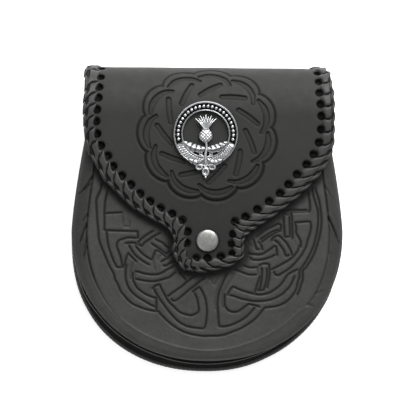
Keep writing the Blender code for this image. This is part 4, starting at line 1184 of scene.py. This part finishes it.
def core(start, end):
    """A bundle of lace inside the plait, along the edge, painted in full shade."""
    middle = (start + end) / 2
    return rod(((start, -0.3, 0.2), (middle, -0.3, 0.2), (end, -0.3, 0.2)), (1.4, 1.4), (0.85, 0.85), (0, 0),
               (2.0, 2.0))


def left_lobe():
    """A turn of the plait on the left side: it comes from under the strand and lies along the
    edge, lapped by the next. It is painted into shade towards its ends, most at the far one."""
    return rod(((-4.9, -1.5, 0.5), (-3.9, -1.6, 1.1), (-2.3, -1.65, 1.5), (-0.4, -1.8, 1.4), (1.6, -2.2, 0.8),
                (3.4, -2.6, 0.0)),
               (0.45, 0.95, 1.2, 1.2, 1.0, 0.6), (0.4, 0.75, 0.85, 0.85, 0.7, 0.4), (0, 0, 10, 25, 40, 50),
               (0.5, 0.3, 0.3, 0.5, 0.8, 1.0))


def right_lobe():
    """A turn of the plait after the tongue, painted into shade over its far half."""
    return rod(((1.6, 1.0, 0.9), (3.0, 0.4, 1.7), (4.9, -0.4, 1.9), (7.0, -1.15, 1.5), (9.2, -1.5, 0.7),
                (11.0, -1.6, -0.2)),
               (0.4, 0.8, 1.0, 1.0, 0.85, 0.5), (0.4, 0.7, 0.8, 0.8, 0.65, 0.4), (0, 5, 15, 30, 45, 55),
               (0.4, 0.0, 0.0, 0.5, 1.0, 1.0))


def stitch_mesh(name, parts):
    """One stitch from its parts, each with points, faces and darkness."""
    points, faces, dark = [], [], []
    for part_points, part_faces, part_dark in parts:
        faces += [tuple(int(len(points) + n) for n in face) for face in part_faces]
        points += list(part_points)
        dark += list(part_dark)
    made = plain_mesh(name, points, faces, np.array(dark))
    turned_out(made, 60)
    return made


left_stitch = stitch_mesh("left_stitch", (
    strand(LEFT_LINES, LEFT_TUCK, LEFT_DIP), hole_leg(), left_lobe(), core(-8.7, 0.4),
    strand(LEFT_LINES, LEFT_TUCK, LEFT_DIP, -1, HIDDEN_THICK)))
right_stitch = stitch_mesh("right_stitch", (
    strand(RIGHT_LINES, RIGHT_TUCK, RIGHT_DIP), hole_leg(), right_lobe(), core(-0.4, 8.7),
    strand(RIGHT_LINES, RIGHT_TUCK, RIGHT_DIP, -1, HIDDEN_THICK)))


def guide_mesh(name, **ways):
    """A straight row of points that say where each part of the lacing goes: the row of holes,
    the way from there straight out to the edge, the way on along it, and the way up."""
    mesh = bpy.data.meshes.new(name)
    steps = len(ways["hole"]) - 1
    mesh.from_pydata([(n / steps, 0, 0) for n in range(steps + 1)], [(n, n + 1) for n in range(steps)], [])
    for attribute, values in ways.items():
        mesh.attributes.new(attribute, "FLOAT_VECTOR", "POINT").data.foreach_set("vector", np.ravel(values))
    made = bpy.data.objects.new(name, mesh)
    bpy.context.scene.collection.objects.link(made)
    return made


def lacing_tree():
    """Nodes that repeat a stitch in a straight row and bend the row to its guide."""
    tree = bpy.data.node_groups.new("laced_edge", "GeometryNodeTree")
    face = tree.interface
    face.new_socket("Guide", in_out="INPUT", socket_type="NodeSocketGeometry")
    for name, kind in (("First_Stitch", "Object"), ("Later_Stitch", "Object"), ("First_Count", "Int"),
                       ("Stitches", "Int"), ("Pitch", "Float"), ("Lead", "Float"), ("Inset", "Float"),
                       ("Unevenness", "Float"), ("Seed", "Int"), ("Lace", "Material")):
        face.new_socket(name, in_out="INPUT", socket_type="NodeSocket" + kind)
    face.new_socket("Lacing", in_out="OUTPUT", socket_type="NodeSocketGeometry")

    def node(kind, **settings):
        made = tree.nodes.new(kind)
        for name, value in settings.items():
            setattr(made, name, value)
        return made

    def link(source, target):
        tree.links.new(source, target)

    given = node("NodeGroupInput")
    result = node("NodeGroupOutput")
    path = node("GeometryNodeMeshToCurve")
    link(given.outputs["Guide"], path.inputs["Mesh"])

    def figure(kind, first, second, clamped=False):
        return figured(tree, kind, first, second, clamped)

    lead = figure("MULTIPLY", given.outputs["Pitch"], given.outputs["Lead"])
    start, step = node("ShaderNodeCombineXYZ"), node("ShaderNodeCombineXYZ")
    link(lead, start.inputs["X"])
    link(given.outputs["Pitch"], step.inputs["X"])
    row = node("GeometryNodeMeshLine", mode="OFFSET")
    link(given.outputs["Stitches"], row.inputs["Count"])
    link(start.outputs[0], row.inputs["Start Location"])
    link(step.outputs[0], row.inputs["Offset"])

    uneven = node("FunctionNodeRandomValue", data_type="FLOAT_VECTOR")
    least = figure("SUBTRACT", 1.0, given.outputs["Unevenness"])
    most = figure("ADD", 1.0, given.outputs["Unevenness"])
    for end, socket in ((least, uneven.inputs[0]), (most, uneven.inputs[1])):
        corner = node("ShaderNodeCombineXYZ")
        corner.inputs["X"].default_value = 1.0
        corner.inputs["Y"].default_value = 1.0
        link(end, corner.inputs["Z"])
        link(corner.outputs[0], socket)
    link(given.outputs["Seed"], uneven.inputs["Seed"])

    index = node("GeometryNodeInputIndex")
    early = node("FunctionNodeCompare", data_type="INT", operation="LESS_THAN")
    link(index.outputs[0], early.inputs[2])
    link(given.outputs["First_Count"], early.inputs[3])
    late = node("FunctionNodeCompare", data_type="INT", operation="GREATER_EQUAL")
    link(index.outputs[0], late.inputs[2])
    link(figure("SUBTRACT", given.outputs["First_Count"], 1), late.inputs[3])
    all_stitches = node("GeometryNodeJoinGeometry")
    for name, chosen in (("First_Stitch", early), ("Later_Stitch", late)):
        stitch = node("GeometryNodeObjectInfo")
        link(given.outputs[name], stitch.inputs["Object"])
        repeat = node("GeometryNodeInstanceOnPoints")
        link(row.outputs["Mesh"], repeat.inputs["Points"])
        link(chosen.outputs[0], repeat.inputs["Selection"])
        link(stitch.outputs["Geometry"], repeat.inputs["Instance"])
        link(uneven.outputs[0], repeat.inputs["Scale"])
        link(repeat.outputs["Instances"], all_stitches.inputs[0])
    whole = node("GeometryNodeRealizeInstances")
    link(all_stitches.outputs[0], whole.inputs["Geometry"])

    position = node("GeometryNodeInputPosition")
    parts = node("ShaderNodeSeparateXYZ")
    link(position.outputs[0], parts.inputs[0])
    both_leads = figure("MULTIPLY", given.outputs["Lead"], 2)
    length = figure("MULTIPLY", figure("ADD", figure("SUBTRACT", given.outputs["Stitches"], 1), both_leads),
                    given.outputs["Pitch"])
    share = figure("DIVIDE", parts.outputs["X"], length)

    def sampled(attribute):
        named = node("GeometryNodeInputNamedAttribute", data_type="FLOAT_VECTOR")
        named.inputs["Name"].default_value = attribute
        sample = node("GeometryNodeSampleCurve", mode="FACTOR", data_type="FLOAT_VECTOR", use_all_curves=True)
        link(path.outputs["Curve"], sample.inputs["Curves"])
        link(named.outputs[0], sample.inputs["Value"])
        link(share, sample.inputs["Factor"])
        return sample.outputs["Value"]

    out = figure("SUBTRACT", 1.0, figure("DIVIDE", parts.outputs["Y"], given.outputs["Inset"]))
    held = figure("MULTIPLY", out, 1.0, clamped=True)
    swing = figure("MULTIPLY", figure("MULTIPLY", held, held), figure("SUBTRACT", 2.0, held))
    spot = sampled("hole")
    for way, amount in (("drop", out), ("slant", swing), ("outward", parts.outputs["Z"])):
        move = node("ShaderNodeVectorMath", operation="SCALE")
        link(sampled(way), move.inputs[0])
        link(amount, move.inputs["Scale"])
        moved = node("ShaderNodeVectorMath", operation="ADD")
        link(spot, moved.inputs[0])
        link(move.outputs[0], moved.inputs[1])
        spot = moved.outputs[0]
    bent = node("GeometryNodeSetPosition")
    link(whole.outputs[0], bent.inputs["Geometry"])
    link(spot, bent.inputs["Position"])
    finish = node("GeometryNodeSetMaterial")
    link(bent.outputs[0], finish.inputs["Geometry"])
    link(given.outputs["Lace"], finish.inputs["Material"])
    link(finish.outputs[0], result.inputs[0])
    return tree


laced_edge = lacing_tree()


def laid(name, guide, tree, **settings):
    """Runs a node tree on a guide and keeps its result as a plain mesh."""
    modifier = guide.modifiers.new("nodes", "NODES")
    modifier.node_group = tree
    names = {item.name: item.identifier for item in tree.interface.items_tree
             if item.item_type == "SOCKET" and item.in_out == "INPUT"}
    for setting, value in settings.items():
        modifier[names[setting]] = value
    bpy.context.view_layer.update()
    ready = guide.evaluated_get(bpy.context.evaluated_depsgraph_get())
    mesh = bpy.data.meshes.new_from_object(ready)
    guide.modifiers.remove(modifier)
    mesh.name = name
    made = bpy.data.objects.new(name, mesh)
    bpy.context.scene.collection.objects.link(made)
    bpy.data.objects.remove(guide, do_unlink=True)
    return made


GUIDE_STEPS = 24                       # points of the guide to a pitch
LEAD = 1.5                             # pitches that it runs past the first and the last hole


def drawn_out(marks):
    """The marks joined by a smooth line that runs LEAD pitches past both ends."""
    steps = np.array(((1,), (2,)))
    marks = np.vstack((marks[:1] - (marks[1:2] - marks[:1]) * steps[::-1], marks,
                       marks[-1:] + (marks[-1:] - marks[-2:-1]) * steps))
    spare = int((2 - LEAD) * GUIDE_STEPS)
    return curved(marks, GUIDE_STEPS)[spare:-spare]


hole_line, end_line = drawn_out(HOLE_MARKS), drawn_out(EDGE_MARKS)
ends = np.arange(len(end_line))
window = GUIDE_STEPS // 2
ahead = end_line[np.minimum(ends + window, len(ends) - 1)] - end_line[np.maximum(ends - window, 0)]
ahead /= np.linalg.norm(ahead, axis=1)[:, None]
along_edge = ((end_line - hole_line) * ahead).sum(axis=1)[:, None] * ahead
foot = on_sheet(end_line - along_edge, 0.0)
flat_holes, flat_ends = on_sheet(hole_line, 0.0), on_sheet(end_line, 0.0)
lace = leather("lace_leather", (0.026, 0.026, 0.025), (0.040, 0.040, 0.039), 0.44, 0.03 * MM)
flap_guide = guide_mesh("flap_lacing_guide", hole=flat_holes, drop=foot - flat_holes, slant=flat_ends - foot,
                        outward=on_sheet(end_line, 1.0) - flat_ends)
flap_lacing = laid("flap_lacing_turns", flap_guide, laced_edge, First_Stitch=left_stitch,
                   Later_Stitch=right_stitch, First_Count=LEFT_STITCHES, Stitches=STITCHES,
                   Pitch=HOLE_PITCH, Lead=LEAD, Inset=HOLE_INSET, Unevenness=0.08, Seed=7, Lace=lace)
bpy.data.objects.remove(left_stitch, do_unlink=True)
bpy.data.objects.remove(right_stitch, do_unlink=True)
turned_out(flap_lacing, 60)
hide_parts("flap_lacing")
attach(flap_lacing, "root")

# ---- Body lacing ------------------------------------------------------------------------
# The same lace carried on round the edge of the back panel as a whip stitch, pulled tight and
# lying almost along the edge.

WHIP_PITCH = 3.0 * MM


def whip():
    """One slanting turn: a flat strand over the edge, lapped by the next, painted into shade as it goes
    under.
    """
    return rod(((-2.6, 0.8, 1.15), (-0.6, 0.55, 1.5), (1.6, -0.05, 1.25), (3.6, -0.65, 0.3),
                (5.0, -0.7, -0.8), (6.4, 0.2, -1.45), (7.6, 1.4, -1.45)),
               (0.35, 0.8, 0.95, 0.95, 0.85, 0.75, 0.4), (0.25, 0.35, 0.4, 0.4, 0.4, 0.35, 0.25),
               (0, 5, 25, 60, 100, 150, 180), (0.3, 0.0, 0.0, 0.1, 0.4, 0.6, 1.0), 8)


def laid_along(name, stitch, line, inner, up, count, pitch, unevenness, seed, lace):
    """One kind of stitch laid along a line. Another line lies a millimetre further in, and the
    way up is given for each point."""
    guide = guide_mesh(name + "_guide", hole=inner, drop=line - inner, slant=0 * line, outward=up)
    made = laid(name, guide, laced_edge, First_Stitch=stitch, Later_Stitch=stitch, First_Count=0,
                Stitches=count, Pitch=pitch, Lead=0.5, Inset=MM, Unevenness=unevenness, Seed=seed, Lace=lace)
    turned_out(made, 60)
    return made


whip_stitch = stitch_mesh("whip_stitch", [whip()])
back_line = evenly(back_edge(60, 200), 900)
whip_count = round(np.linalg.norm(np.diff(back_line, axis=0), axis=1).sum() / WHIP_PITCH)
flat_edge = on_sheet(back_line, 0.0)
flat_inner = on_sheet(inset(back_line, MM), 0.0)
straight_up = np.tile((0.0, 0.0, 1.0), (len(flat_edge), 1))
# Painted light: a paler copy of the lace, so that it reads lit where it lies in shade
whip_leather_painted_light = leather("whip_leather_painted_light", (0.040, 0.040, 0.0385), (0.062, 0.062, 0.060), 0.45, 0.03 * MM)
body_lacing = laid_along("body_lacing_turns", whip_stitch, flat_edge, flat_inner, straight_up,
                         whip_count, WHIP_PITCH, 0.08, 3, whip_leather_painted_light)
bpy.data.objects.remove(whip_stitch, do_unlink=True)
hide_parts("body_lacing")
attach(body_lacing, "root")

# ---- Snap -------------------------------------------------------------------------------
# A pressed steel cap, darkened and brushed, riveted through the flap to a washer that presses
# onto the stud of the front panel.

CAP_HEIGHT = 2.2 * MM
SHANK_RADIUS, WASHER_RADIUS, PIN_RADIUS = 2.0 * MM, 6.0 * MM, 2.1 * MM
# The dome's outline from its middle to its rim: shares of its radius and of its height
DOME = ((0.06, 1.0), (0.25, 0.995), (0.45, 0.965), (0.62, 0.915), (0.76, 0.84), (0.86, 0.74), (0.93, 0.60),
        (0.975, 0.42), (1.0, 0.22), (0.995, 0.08), (0.97, 0.0), (0.90, 0.0))


def seated(points, x, y):
    """Points about a middle on the flap, moved there and turned square to it."""
    angle = FLAP_SLOPE
    middle = on_sheet([(x, flap_run(y))], 0.0)[0]
    points = np.asarray(points, float)
    turned_y = points[:, 1] * math.cos(angle) - points[:, 2] * math.sin(angle)
    turned_z = points[:, 1] * math.sin(angle) + points[:, 2] * math.cos(angle)
    return np.column_stack((points[:, 0], turned_y, turned_z)) + middle


def lathed(outline, sides):
    """A closed profile of radius and height turned round an axis, as rings."""
    bend = 2 * np.pi * np.arange(sides) / sides
    return [np.column_stack((r * np.cos(bend), r * np.sin(bend), np.full(sides, h))) for r, h in outline]


top_level = SHEET_THICK / 2 + GAP
low_level = -top_level
dome = [(SNAP_RADIUS * share, top_level + CAP_HEIGHT * high) for share, high in DOME]
cap = dome + [(SHANK_RADIUS, top_level), (SHANK_RADIUS, low_level), (WASHER_RADIUS - 0.2 * MM, low_level),
              (WASHER_RADIUS, low_level - 0.2 * MM), (WASHER_RADIUS, low_level - 0.9 * MM),
              (WASHER_RADIUS - 0.2 * MM, low_level - 1.1 * MM), (PIN_RADIUS + 0.4 * MM, low_level - 1.1 * MM),
              (PIN_RADIUS + 0.4 * MM, low_level - 0.3 * MM)]
cap_points, cap_faces = skinned(lathed(cap, 64))
snap_cap = plain_mesh("snap_cap_steel", seated(cap_points, SNAP_X, SNAP_Y), cap_faces)
turned_out(snap_cap, 40)
head = low_level - 0.3 * MM - GAP
foot = -PAN_UNDER_FLAP - PAN_WALL - GAP
stud = [(0.3 * MM, head), (PIN_RADIUS * 0.7, head), (PIN_RADIUS, head - 0.3 * MM), (PIN_RADIUS, foot),
        (PIN_RADIUS * 2.1, foot), (PIN_RADIUS * 2.2, foot - 0.2 * MM), (PIN_RADIUS * 2.2, foot - 0.7 * MM),
        (PIN_RADIUS * 2.1, foot - 0.9 * MM), (0.3 * MM, foot - 0.9 * MM)]
stud_points, stud_faces = skinned(lathed(stud, 32))
snap_stud = plain_mesh("snap_stud_steel", seated(stud_points, SNAP_X, SNAP_Y), stud_faces)
turned_out(snap_stud, 40)

# Dark colour for grime, for patina in the badge's hollows and for painted shade
GRIME_AND_SHADE = (0.012, 0.012, 0.012)


def metal(name, dark, light, gloss, scratch_scale, scratch_depth):
    """Bare metal: mottled tone, fine scratches, and dark grime, patina and painted shade where
    the attribute says.
    """
    made, tree, shader, place = node_tree(name)
    tone = tinted(tree, spread(tree, grain(tree, place, 420, 4.0), 0.35, 0.65, 0, 1), dark, light)
    tree.links.new(tinted(tree, tool_marks_and_shade(tree), tone, GRIME_AND_SHADE), shader.inputs["Base Color"])
    shader.inputs["Metallic"].default_value = 1.0
    rough = spread(tree, grain(tree, place, 700, 3.0), 0.3, 0.7, gloss - 0.06, gloss + 0.08)
    tree.links.new(rough, shader.inputs["Roughness"])
    raised(tree, shader, grain(tree, place, scratch_scale, 3.0), scratch_depth, 0.5)
    return made


snap_steel = metal("snap_steel", (0.27, 0.27, 0.26), (0.34, 0.34, 0.33), 0.42, 2600, 0.012 * MM)
for made, node_name in ((snap_cap, "snap_cap"), (snap_stud, "snap_stud")):
    made.data.materials.append(snap_steel)
    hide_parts(node_name)
    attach(made, "root")

# ---- Badge ------------------------------------------------------------------------------
# Cast pewter, riveted through the flap by two posts: a ring with two thin rims, pellets in its
# sunken upper part and hatching in its lower part, a thistle on a leafy stem across it and a
# trefoil below. Bright on the high places and dark in the hollows: patina in the hollows, and
# painted shade on the flanks of its domes and leaves and on the far sides of its rods.

FLOOR_HIGH, HATCHED_HIGH, HATCHES = 0.9, 1.65, 72                    # millimetres, and how many
# The ring's section: radius, height and darkness, where a height of None is the floor's
RING_SECTION = (
    (14.9, 0.0, 1.0), (14.9, 1.5, 0.7), (15.05, 2.2, 0.1), (15.55, 2.6, 0.0), (16.05, 2.3, 0.1),
    (16.3, 1.6, 0.8), (16.4, None, 1.0), (17.2, None, 1.0), (18.2, None, 1.0), (19.2, None, 1.0),
    (20.0, None, 1.0), (20.1, 1.6, 0.8), (20.35, 2.3, 0.1), (20.85, 2.6, 0.0), (21.35, 2.2, 0.1),
    (21.5, 1.5, 0.7), (21.5, 0.0, 1.0))


def badge_ring(steps=360):
    """The ring, with a plain sunken floor above and a raised, hatched one below."""
    rows, dark = [], []
    for n in range(steps):
        angle = 2 * math.pi * n / steps
        low_part = min(1, max(0, (-math.sin(angle) - 0.34) * 12))
        for radius, high, shade in RING_SECTION:
            if high is None:
                cut = 0.5 + 0.5 * math.cos(HATCHES * angle + 1.5 * (radius - 18))
                high = FLOOR_HIGH + low_part * (HATCHED_HIGH - FLOOR_HIGH + 0.4 * cut)
                shade = 1 - low_part * (0.45 + 0.45 * cut)
            rows.append((radius * math.cos(angle) * MM, radius * math.sin(angle) * MM, high * MM))
            dark.append(shade)
    m = len(RING_SECTION)
    faces = [(n * m + k, n * m + (k + 1) % m, (n + 1) % steps * m + (k + 1) % m, (n + 1) % steps * m + k)
             for n in range(steps) for k in range(m)]
    return np.array(rows), faces, np.array(dark)


def boss(x, y, wide, long, high, pit=0.0, scales=0.0, sides=32, steps=12):
    """A low dome over an ellipse, with a pit in its middle or cut with crossing lines."""
    bend = 2 * np.pi * np.arange(sides) / sides
    rings, dark = [], []
    for share in (1.0, *np.linspace(1.0, 0.05, steps)):
        across, up = share * wide * np.cos(bend), share * long * np.sin(bend)
        swell = math.sqrt(max(0, 1 - share ** 2.6)) if rings else 0
        level = high * (0.35 + 0.65 * swell) * (len(rings) > 0)
        level = level - pit * math.exp(-(share / 0.42) ** 4)
        cut = np.minimum(np.abs(np.sin((across + up) * scales)), np.abs(np.sin((across - up) * scales)))
        level = level + (0.45 * cut if scales and rings else 0 * cut)
        rings.append(np.column_stack((x + across, y + up, level)) * MM)
        # Darker towards the foot and in the pit: partly patina, partly painted shade
        shade = np.full(sides, 0.9 - 1.2 * swell + 1.0 * (pit > 0) * math.exp(-(share / 0.42) ** 4))
        dark.append(shade + (0.75 - 1.3 * cut if scales else 0 * cut))
    return *skinned(rings), np.clip(np.ravel(dark), 0, 1)


def cast_leaf(start, bow, tip, half, teeth, high):
    """A toothed leaf with a raised vein along its middle."""
    spine = curved([start, bow, tip], 18)
    spine = evenly(spine, 36)
    top, low, dark = [], [], []
    for n, middle in enumerate(spine):
        share = n / (len(spine) - 1)
        ahead = spine[min(n + 1, len(spine) - 1)] - spine[max(n - 1, 0)]
        ahead = ahead / np.linalg.norm(ahead)
        tooth = (share * teeth) % 1.0
        wide = half * (0.10 + math.sin(math.pi * share ** 0.8) ** 0.7 * (0.62 + 0.38 * (1 - tooth)))
        across = np.linspace(-1, 1, 11)
        spot = middle + np.outer(across * wide, (-ahead[1], ahead[0]))
        vein = 0.72 + 0.28 * (1 - np.abs(across)) ** 2 - 0.12 * np.cos(np.pi * across) * (tooth > 0.7)
        level = high * vein
        top.append(np.column_stack((spot, level)) * MM)
        low.append(np.column_stack((spot, 0 * level)) * MM)
        # Darker on the flanks and at the teeth: partly patina, partly painted shade
        dark.append(np.clip(0.75 * np.sin(np.pi * np.abs(across)) ** 2 + 0.4 * (tooth > 0.75), 0, 1))
    points, faces = closed_grid(np.array(top), np.array(low))
    dark = np.ravel(dark)
    return points, faces, np.concatenate((dark, np.ones(len(dark))))


badge_parts = [badge_ring(), boss(0, -1.4, 4.8, 4.8, 3.0, scales=1.4, sides=48, steps=18),
               boss(0, 2.9, 3.2, 0.8, 3.0), boss(0, -20.6, 2.0, 1.7, 3.0, pit=1.2),
               boss(0, -24.9, 2.8, 3.4, 2.6, pit=1.5), boss(0, -28.4, 1.0, 1.2, 2.0)]
for side in (-1, 1):
    badge_parts.append(boss(side * 4.3, -21.9, 2.8, 2.4, 2.5, pit=1.5))
    badge_parts.append(boss(side * 3.3, -13.0, 1.5, 1.7, 2.4, pit=1.0))
    badge_parts.append(rod(((0, -15.6, 1.8), (side * 2.0, -14.8, 1.9), (side * 3.1, -13.8, 1.8)),
                           (0.5, 0.5), (0.4, 0.4), (0, 0), (0, 0), 8))
    badge_parts.append(cast_leaf((side * 0.4, -10.4), (side * 7.6, -9.4), (side * 15.9, -5.4), 2.7, 5, 3.2))
    badge_parts.append(cast_leaf((side * 0.4, -17.0), (side * 5.6, -19.0), (side * 11.6, -17.2), 1.9, 4, 3.3))
for number, lean in enumerate(np.radians(np.linspace(-40, 40, 9))):
    reach = 9.4 if number % 2 else 10.6
    way = np.array((math.sin(lean), math.cos(lean)))
    route = [(*(0.8 * way * (1.8, 1) + (0, 2.4)), 2.6), (*(way * reach * 0.55 + (0, 2.4)), 2.7),
             (*(way * reach + (0, 1.8)), 1.9)]
    badge_parts.append(rod(route, (0.45, 0.5, 0.32), (0.5, 0.6, 0.35), (0, 0), (0, 0), 8))
badge_parts.append(rod(((0, -4.6, 1.8), (0.5, -9.0, 2.0), (-0.3, -14.0, 2.4), (0, -19.4, 2.6)),
                       (0.7, 0.8, 0.9, 1.0), (0.6, 0.6, 0.6, 0.6), (0, 0), (0, 0), 10))
post_foot = -2.9 * MM - GAP
post = [(0.1 * MM, 0.5 * MM), (0.9 * MM, 0.5 * MM), (0.9 * MM, post_foot), (1.7 * MM, post_foot),
        (1.6 * MM, post_foot - 0.5 * MM), (0.1 * MM, post_foot - 0.7 * MM)]
for side in (-1, 1):
    points, faces = skinned(lathed(post, 16))
    badge_parts.append((points + (side * BADGE_POST_X, 0, 0), faces, np.zeros(len(points))))
badge_base = np.array((0, 0, SHEET_THICK / 2 + GAP))
badge = stitch_mesh("badge_cast", [(seated(points + badge_base, BADGE_X, BADGE_Y), faces, dark)
                                   for points, faces, dark in badge_parts])

# The pellets stand in the sunken part, from low on the left over the top to low on the right
PELLETS, PELLET_RADIUS, PELLET_CIRCLE = 24, 1.15, 18.2 * MM
pellet = stitch_mesh("pellet", [boss(0, 0, PELLET_RADIUS, PELLET_RADIUS, 1.4, sides=16, steps=8)])
way_round = np.radians(np.linspace(196, -16, 241))
ring_line = np.column_stack((np.cos(way_round), np.sin(way_round), 0 * way_round))
lift = badge_base + (0, 0, FLOOR_HIGH * MM)
on_ring, towards, above = (
    seated(ring_line * radius + lift + (0, 0, up), BADGE_X, BADGE_Y)
    for radius, up in ((PELLET_CIRCLE, 0), (PELLET_CIRCLE - MM, 0), (PELLET_CIRCLE, 1.0)))
pellet_pitch = PELLET_CIRCLE * (way_round[0] - way_round[-1]) / PELLETS
pewter = metal("pewter", (0.50, 0.51, 0.52), (0.66, 0.67, 0.68), 0.30, 1500, 0.03 * MM)
pellets = laid_along("badge_pellets", pellet, on_ring, towards, above - on_ring, PELLETS, pellet_pitch,
                     0.0, 1, pewter)
bpy.data.objects.remove(pellet, do_unlink=True)
badge.data.materials.append(pewter)
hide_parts("badge")
for made in (badge, pellets):
    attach(made, "root")

# ---- Belt loops -------------------------------------------------------------------------
# Two straps of the same leather, 22 mm wide, with rounded ends and rounded edges that are
# darker. Both ends are sewn flat to the back with a box of waxed thread; the pouch lies on the
# run between them.

LOOP_X, LOOP_HALF, LOOP_THICK = 35.0 * MM, 11.0 * MM, 2.5 * MM
LOOP_SEAT = BACK_MID_Z - SHEET_THICK / 2 - GAP                      # top of the sewn ends
LOOP_END_RADIUS, LOOP_EDGE_RADIUS = 5.0 * MM, 0.8 * MM
# The strap's middle line from its top end to its bottom end: y, and share of the way down
LOOP_COURSE = ((52.0, 0.0), (46.0, 0.0), (41.0, 0.0), (39.2, 0.10), (37.0, 0.5), (34.8, 0.90), (33.0, 1.0),
               (22.0, 1.0), (10.0, 1.0), (-2.0, 1.0), (-13.0, 1.0), (-14.8, 0.90), (-17.0, 0.5),
               (-19.2, 0.10), (-21.0, 0.0), (-26.0, 0.0), (-32.0, 0.0))
SEWN_BOXES = ((49.4, 42.6), (-22.6, -29.4))                         # y from and to, at both ends
SEAM_INSET, THREAD_PITCH, THREAD_RADIUS = 2.6 * MM, 2.9 * MM, 0.36

course = smooth_line(LOOP_COURSE, 0.9)
course = np.column_stack((course[:, 0] * MM,
                          LOOP_SEAT - np.clip(course[:, 1], 0, 1) * (LOOP_SEAT - LOOP_THICK)))


def loop_half(y):
    """The strap's half width at a height: it has rounded corners at both ends."""
    from_end = min(course[0, 0] - y, y - course[-1, 0])
    short = max(0, 1 - from_end / LOOP_END_RADIUS)
    return LOOP_HALF - LOOP_END_RADIUS * (1 - math.sqrt(max(0, 1 - short * short)))


def strap(x):
    """Rings of a flat strap with rounded edges along its course, and how dark their points are."""
    bend = np.radians(np.arange(0, 91, 18))
    r = LOOP_EDGE_RADIUS
    corner = np.column_stack((r * np.cos(bend) - r, r * np.sin(bend) - r))
    rings, dark = [], []
    for y, top_z in course:
        half = loop_half(y)
        quarter = corner + (half, LOOP_THICK / 2)
        right = np.vstack((quarter[::-1], quarter * (1, -1)))
        ring = np.vstack((right, right[::-1] * (-1, 1)))
        high = top_z - LOOP_THICK / 2 + ring[:, 1]
        rings.append(np.column_stack((x + ring[:, 0], np.full(len(ring), y), high)))
        dark += list(np.clip(1 - (half - np.abs(ring[:, 0])) / r, 0, 1) * 0.7)
    return *skinned(rings), np.array(dark)


thread_stitch = stitch_mesh("thread_stitch", [rod(
    ((-1.15, 0, -0.25), (-0.7, 0, 0.1), (0, 0, 0.2), (0.7, 0, 0.1), (1.15, 0, -0.25)),
    (THREAD_RADIUS, THREAD_RADIUS), (THREAD_RADIUS, THREAD_RADIUS), (0, 0), (0.3, 0.3), 8)])
loop_leather = leather("loop_leather", (0.018, 0.018, 0.0173), (0.028, 0.028, 0.027), 0.5)
thread = leather("waxed_thread", (0.050, 0.049, 0.046), (0.085, 0.083, 0.078), 0.45, 0.02 * MM)
for side, node_name in ((-1, "belt_loop_left"), (1, "belt_loop_right")):
    loop_points, loop_faces, loop_dark = strap(side * LOOP_X)
    loop = plain_mesh(node_name + "_strap", loop_points, loop_faces, loop_dark)
    turned_out(loop, 40)
    loop.data.materials.append(loop_leather)
    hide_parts(node_name)
    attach(loop, "root")
    for end_name, (start_y, end_y) in zip(("top", "bottom"), SEWN_BOXES):
        reach = LOOP_HALF - SEAM_INSET
        box = np.array(((-reach, start_y * MM), (reach, start_y * MM), (reach, end_y * MM),
                        (-reach, end_y * MM), (-reach, start_y * MM)))
        seam = evenly(box, 240)
        line, inner = (np.column_stack((way + (side * LOOP_X, 0), np.full(len(way), LOOP_SEAT - LOOP_THICK)))
                       for way in (seam, inset(seam, MM)))
        straight_down = np.tile((0.0, 0.0, -1.0), (len(seam), 1))
        count = round(np.linalg.norm(np.diff(seam, axis=0), axis=1).sum() / THREAD_PITCH)
        sewn = laid_along(node_name + "_seam_" + end_name, thread_stitch, line, inner, straight_down,
                          count, THREAD_PITCH, 0.05, 5, thread)
        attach(sewn, "root")
bpy.data.objects.remove(thread_stitch, do_unlink=True)

# ---- Table, light and air ---------------------------------------------------------------
# A plain white table, one broad soft light above the top of the pouch and a little to the
# right, a weaker one opposite, and white air all round.

TABLE_GLOW = 0.60                      # the table is lit a little from inside, as a light table is
TABLE_REACH = 3                        # metres
DULL_WHITE, BRIGHT_WHITE = (0.93, 0.93, 0.93), (0.95, 0.95, 0.95)
AIR_GLOW = 0.50
corners = [(x * TABLE_REACH, y * TABLE_REACH, 0) for x, y in ((-1, -1), (1, -1), (1, 1), (-1, 1))]
table_top = plain_mesh("table_top", corners, [(0, 1, 2, 3)])
made, tree, shader, place = node_tree("table_white")
pale = tinted(tree, spread(tree, grain(tree, place, 4, 2.0), 0.3, 0.7, 0, 1), DULL_WHITE, BRIGHT_WHITE)
tree.links.new(pale, shader.inputs["Base Color"])
shader.inputs["Roughness"].default_value = 0.8
shader.inputs["Emission Color"].default_value = (1.0, 1.0, 1.0, 1.0)
shader.inputs["Emission Strength"].default_value = TABLE_GLOW
table_top.data.materials.append(made)


def soft_light(name, place, aim, side, power):
    """A square soft light at a place, turned to a point."""
    light = bpy.data.lights.new(name, "AREA")
    light.shape = "SQUARE"
    light.size = side
    light.energy = power
    made = bpy.data.objects.new(name, light)
    made.location = place
    made.rotation_euler = (Vector(aim) - Vector(place)).to_track_quat("-Z", "Y").to_euler()
    bpy.context.scene.collection.objects.link(made)


soft_light("key_light", (0.40, 1.15, 1.05), (0.0, 0.02, 0.03), 1.3, 38.0)
soft_light("fill_light", (-0.9, -0.7, 1.3), (0.0, 0.0, 0.03), 1.2, 3.0)
air = bpy.data.worlds.new("air")
air.use_nodes = True
air.node_tree.nodes["Background"].inputs["Color"].default_value = (1.0, 1.0, 1.0, 1.0)
air.node_tree.nodes["Background"].inputs["Strength"].default_value = AIR_GLOW
bpy.context.scene.world = air
bpy.context.scene.view_settings.view_transform = "Standard"
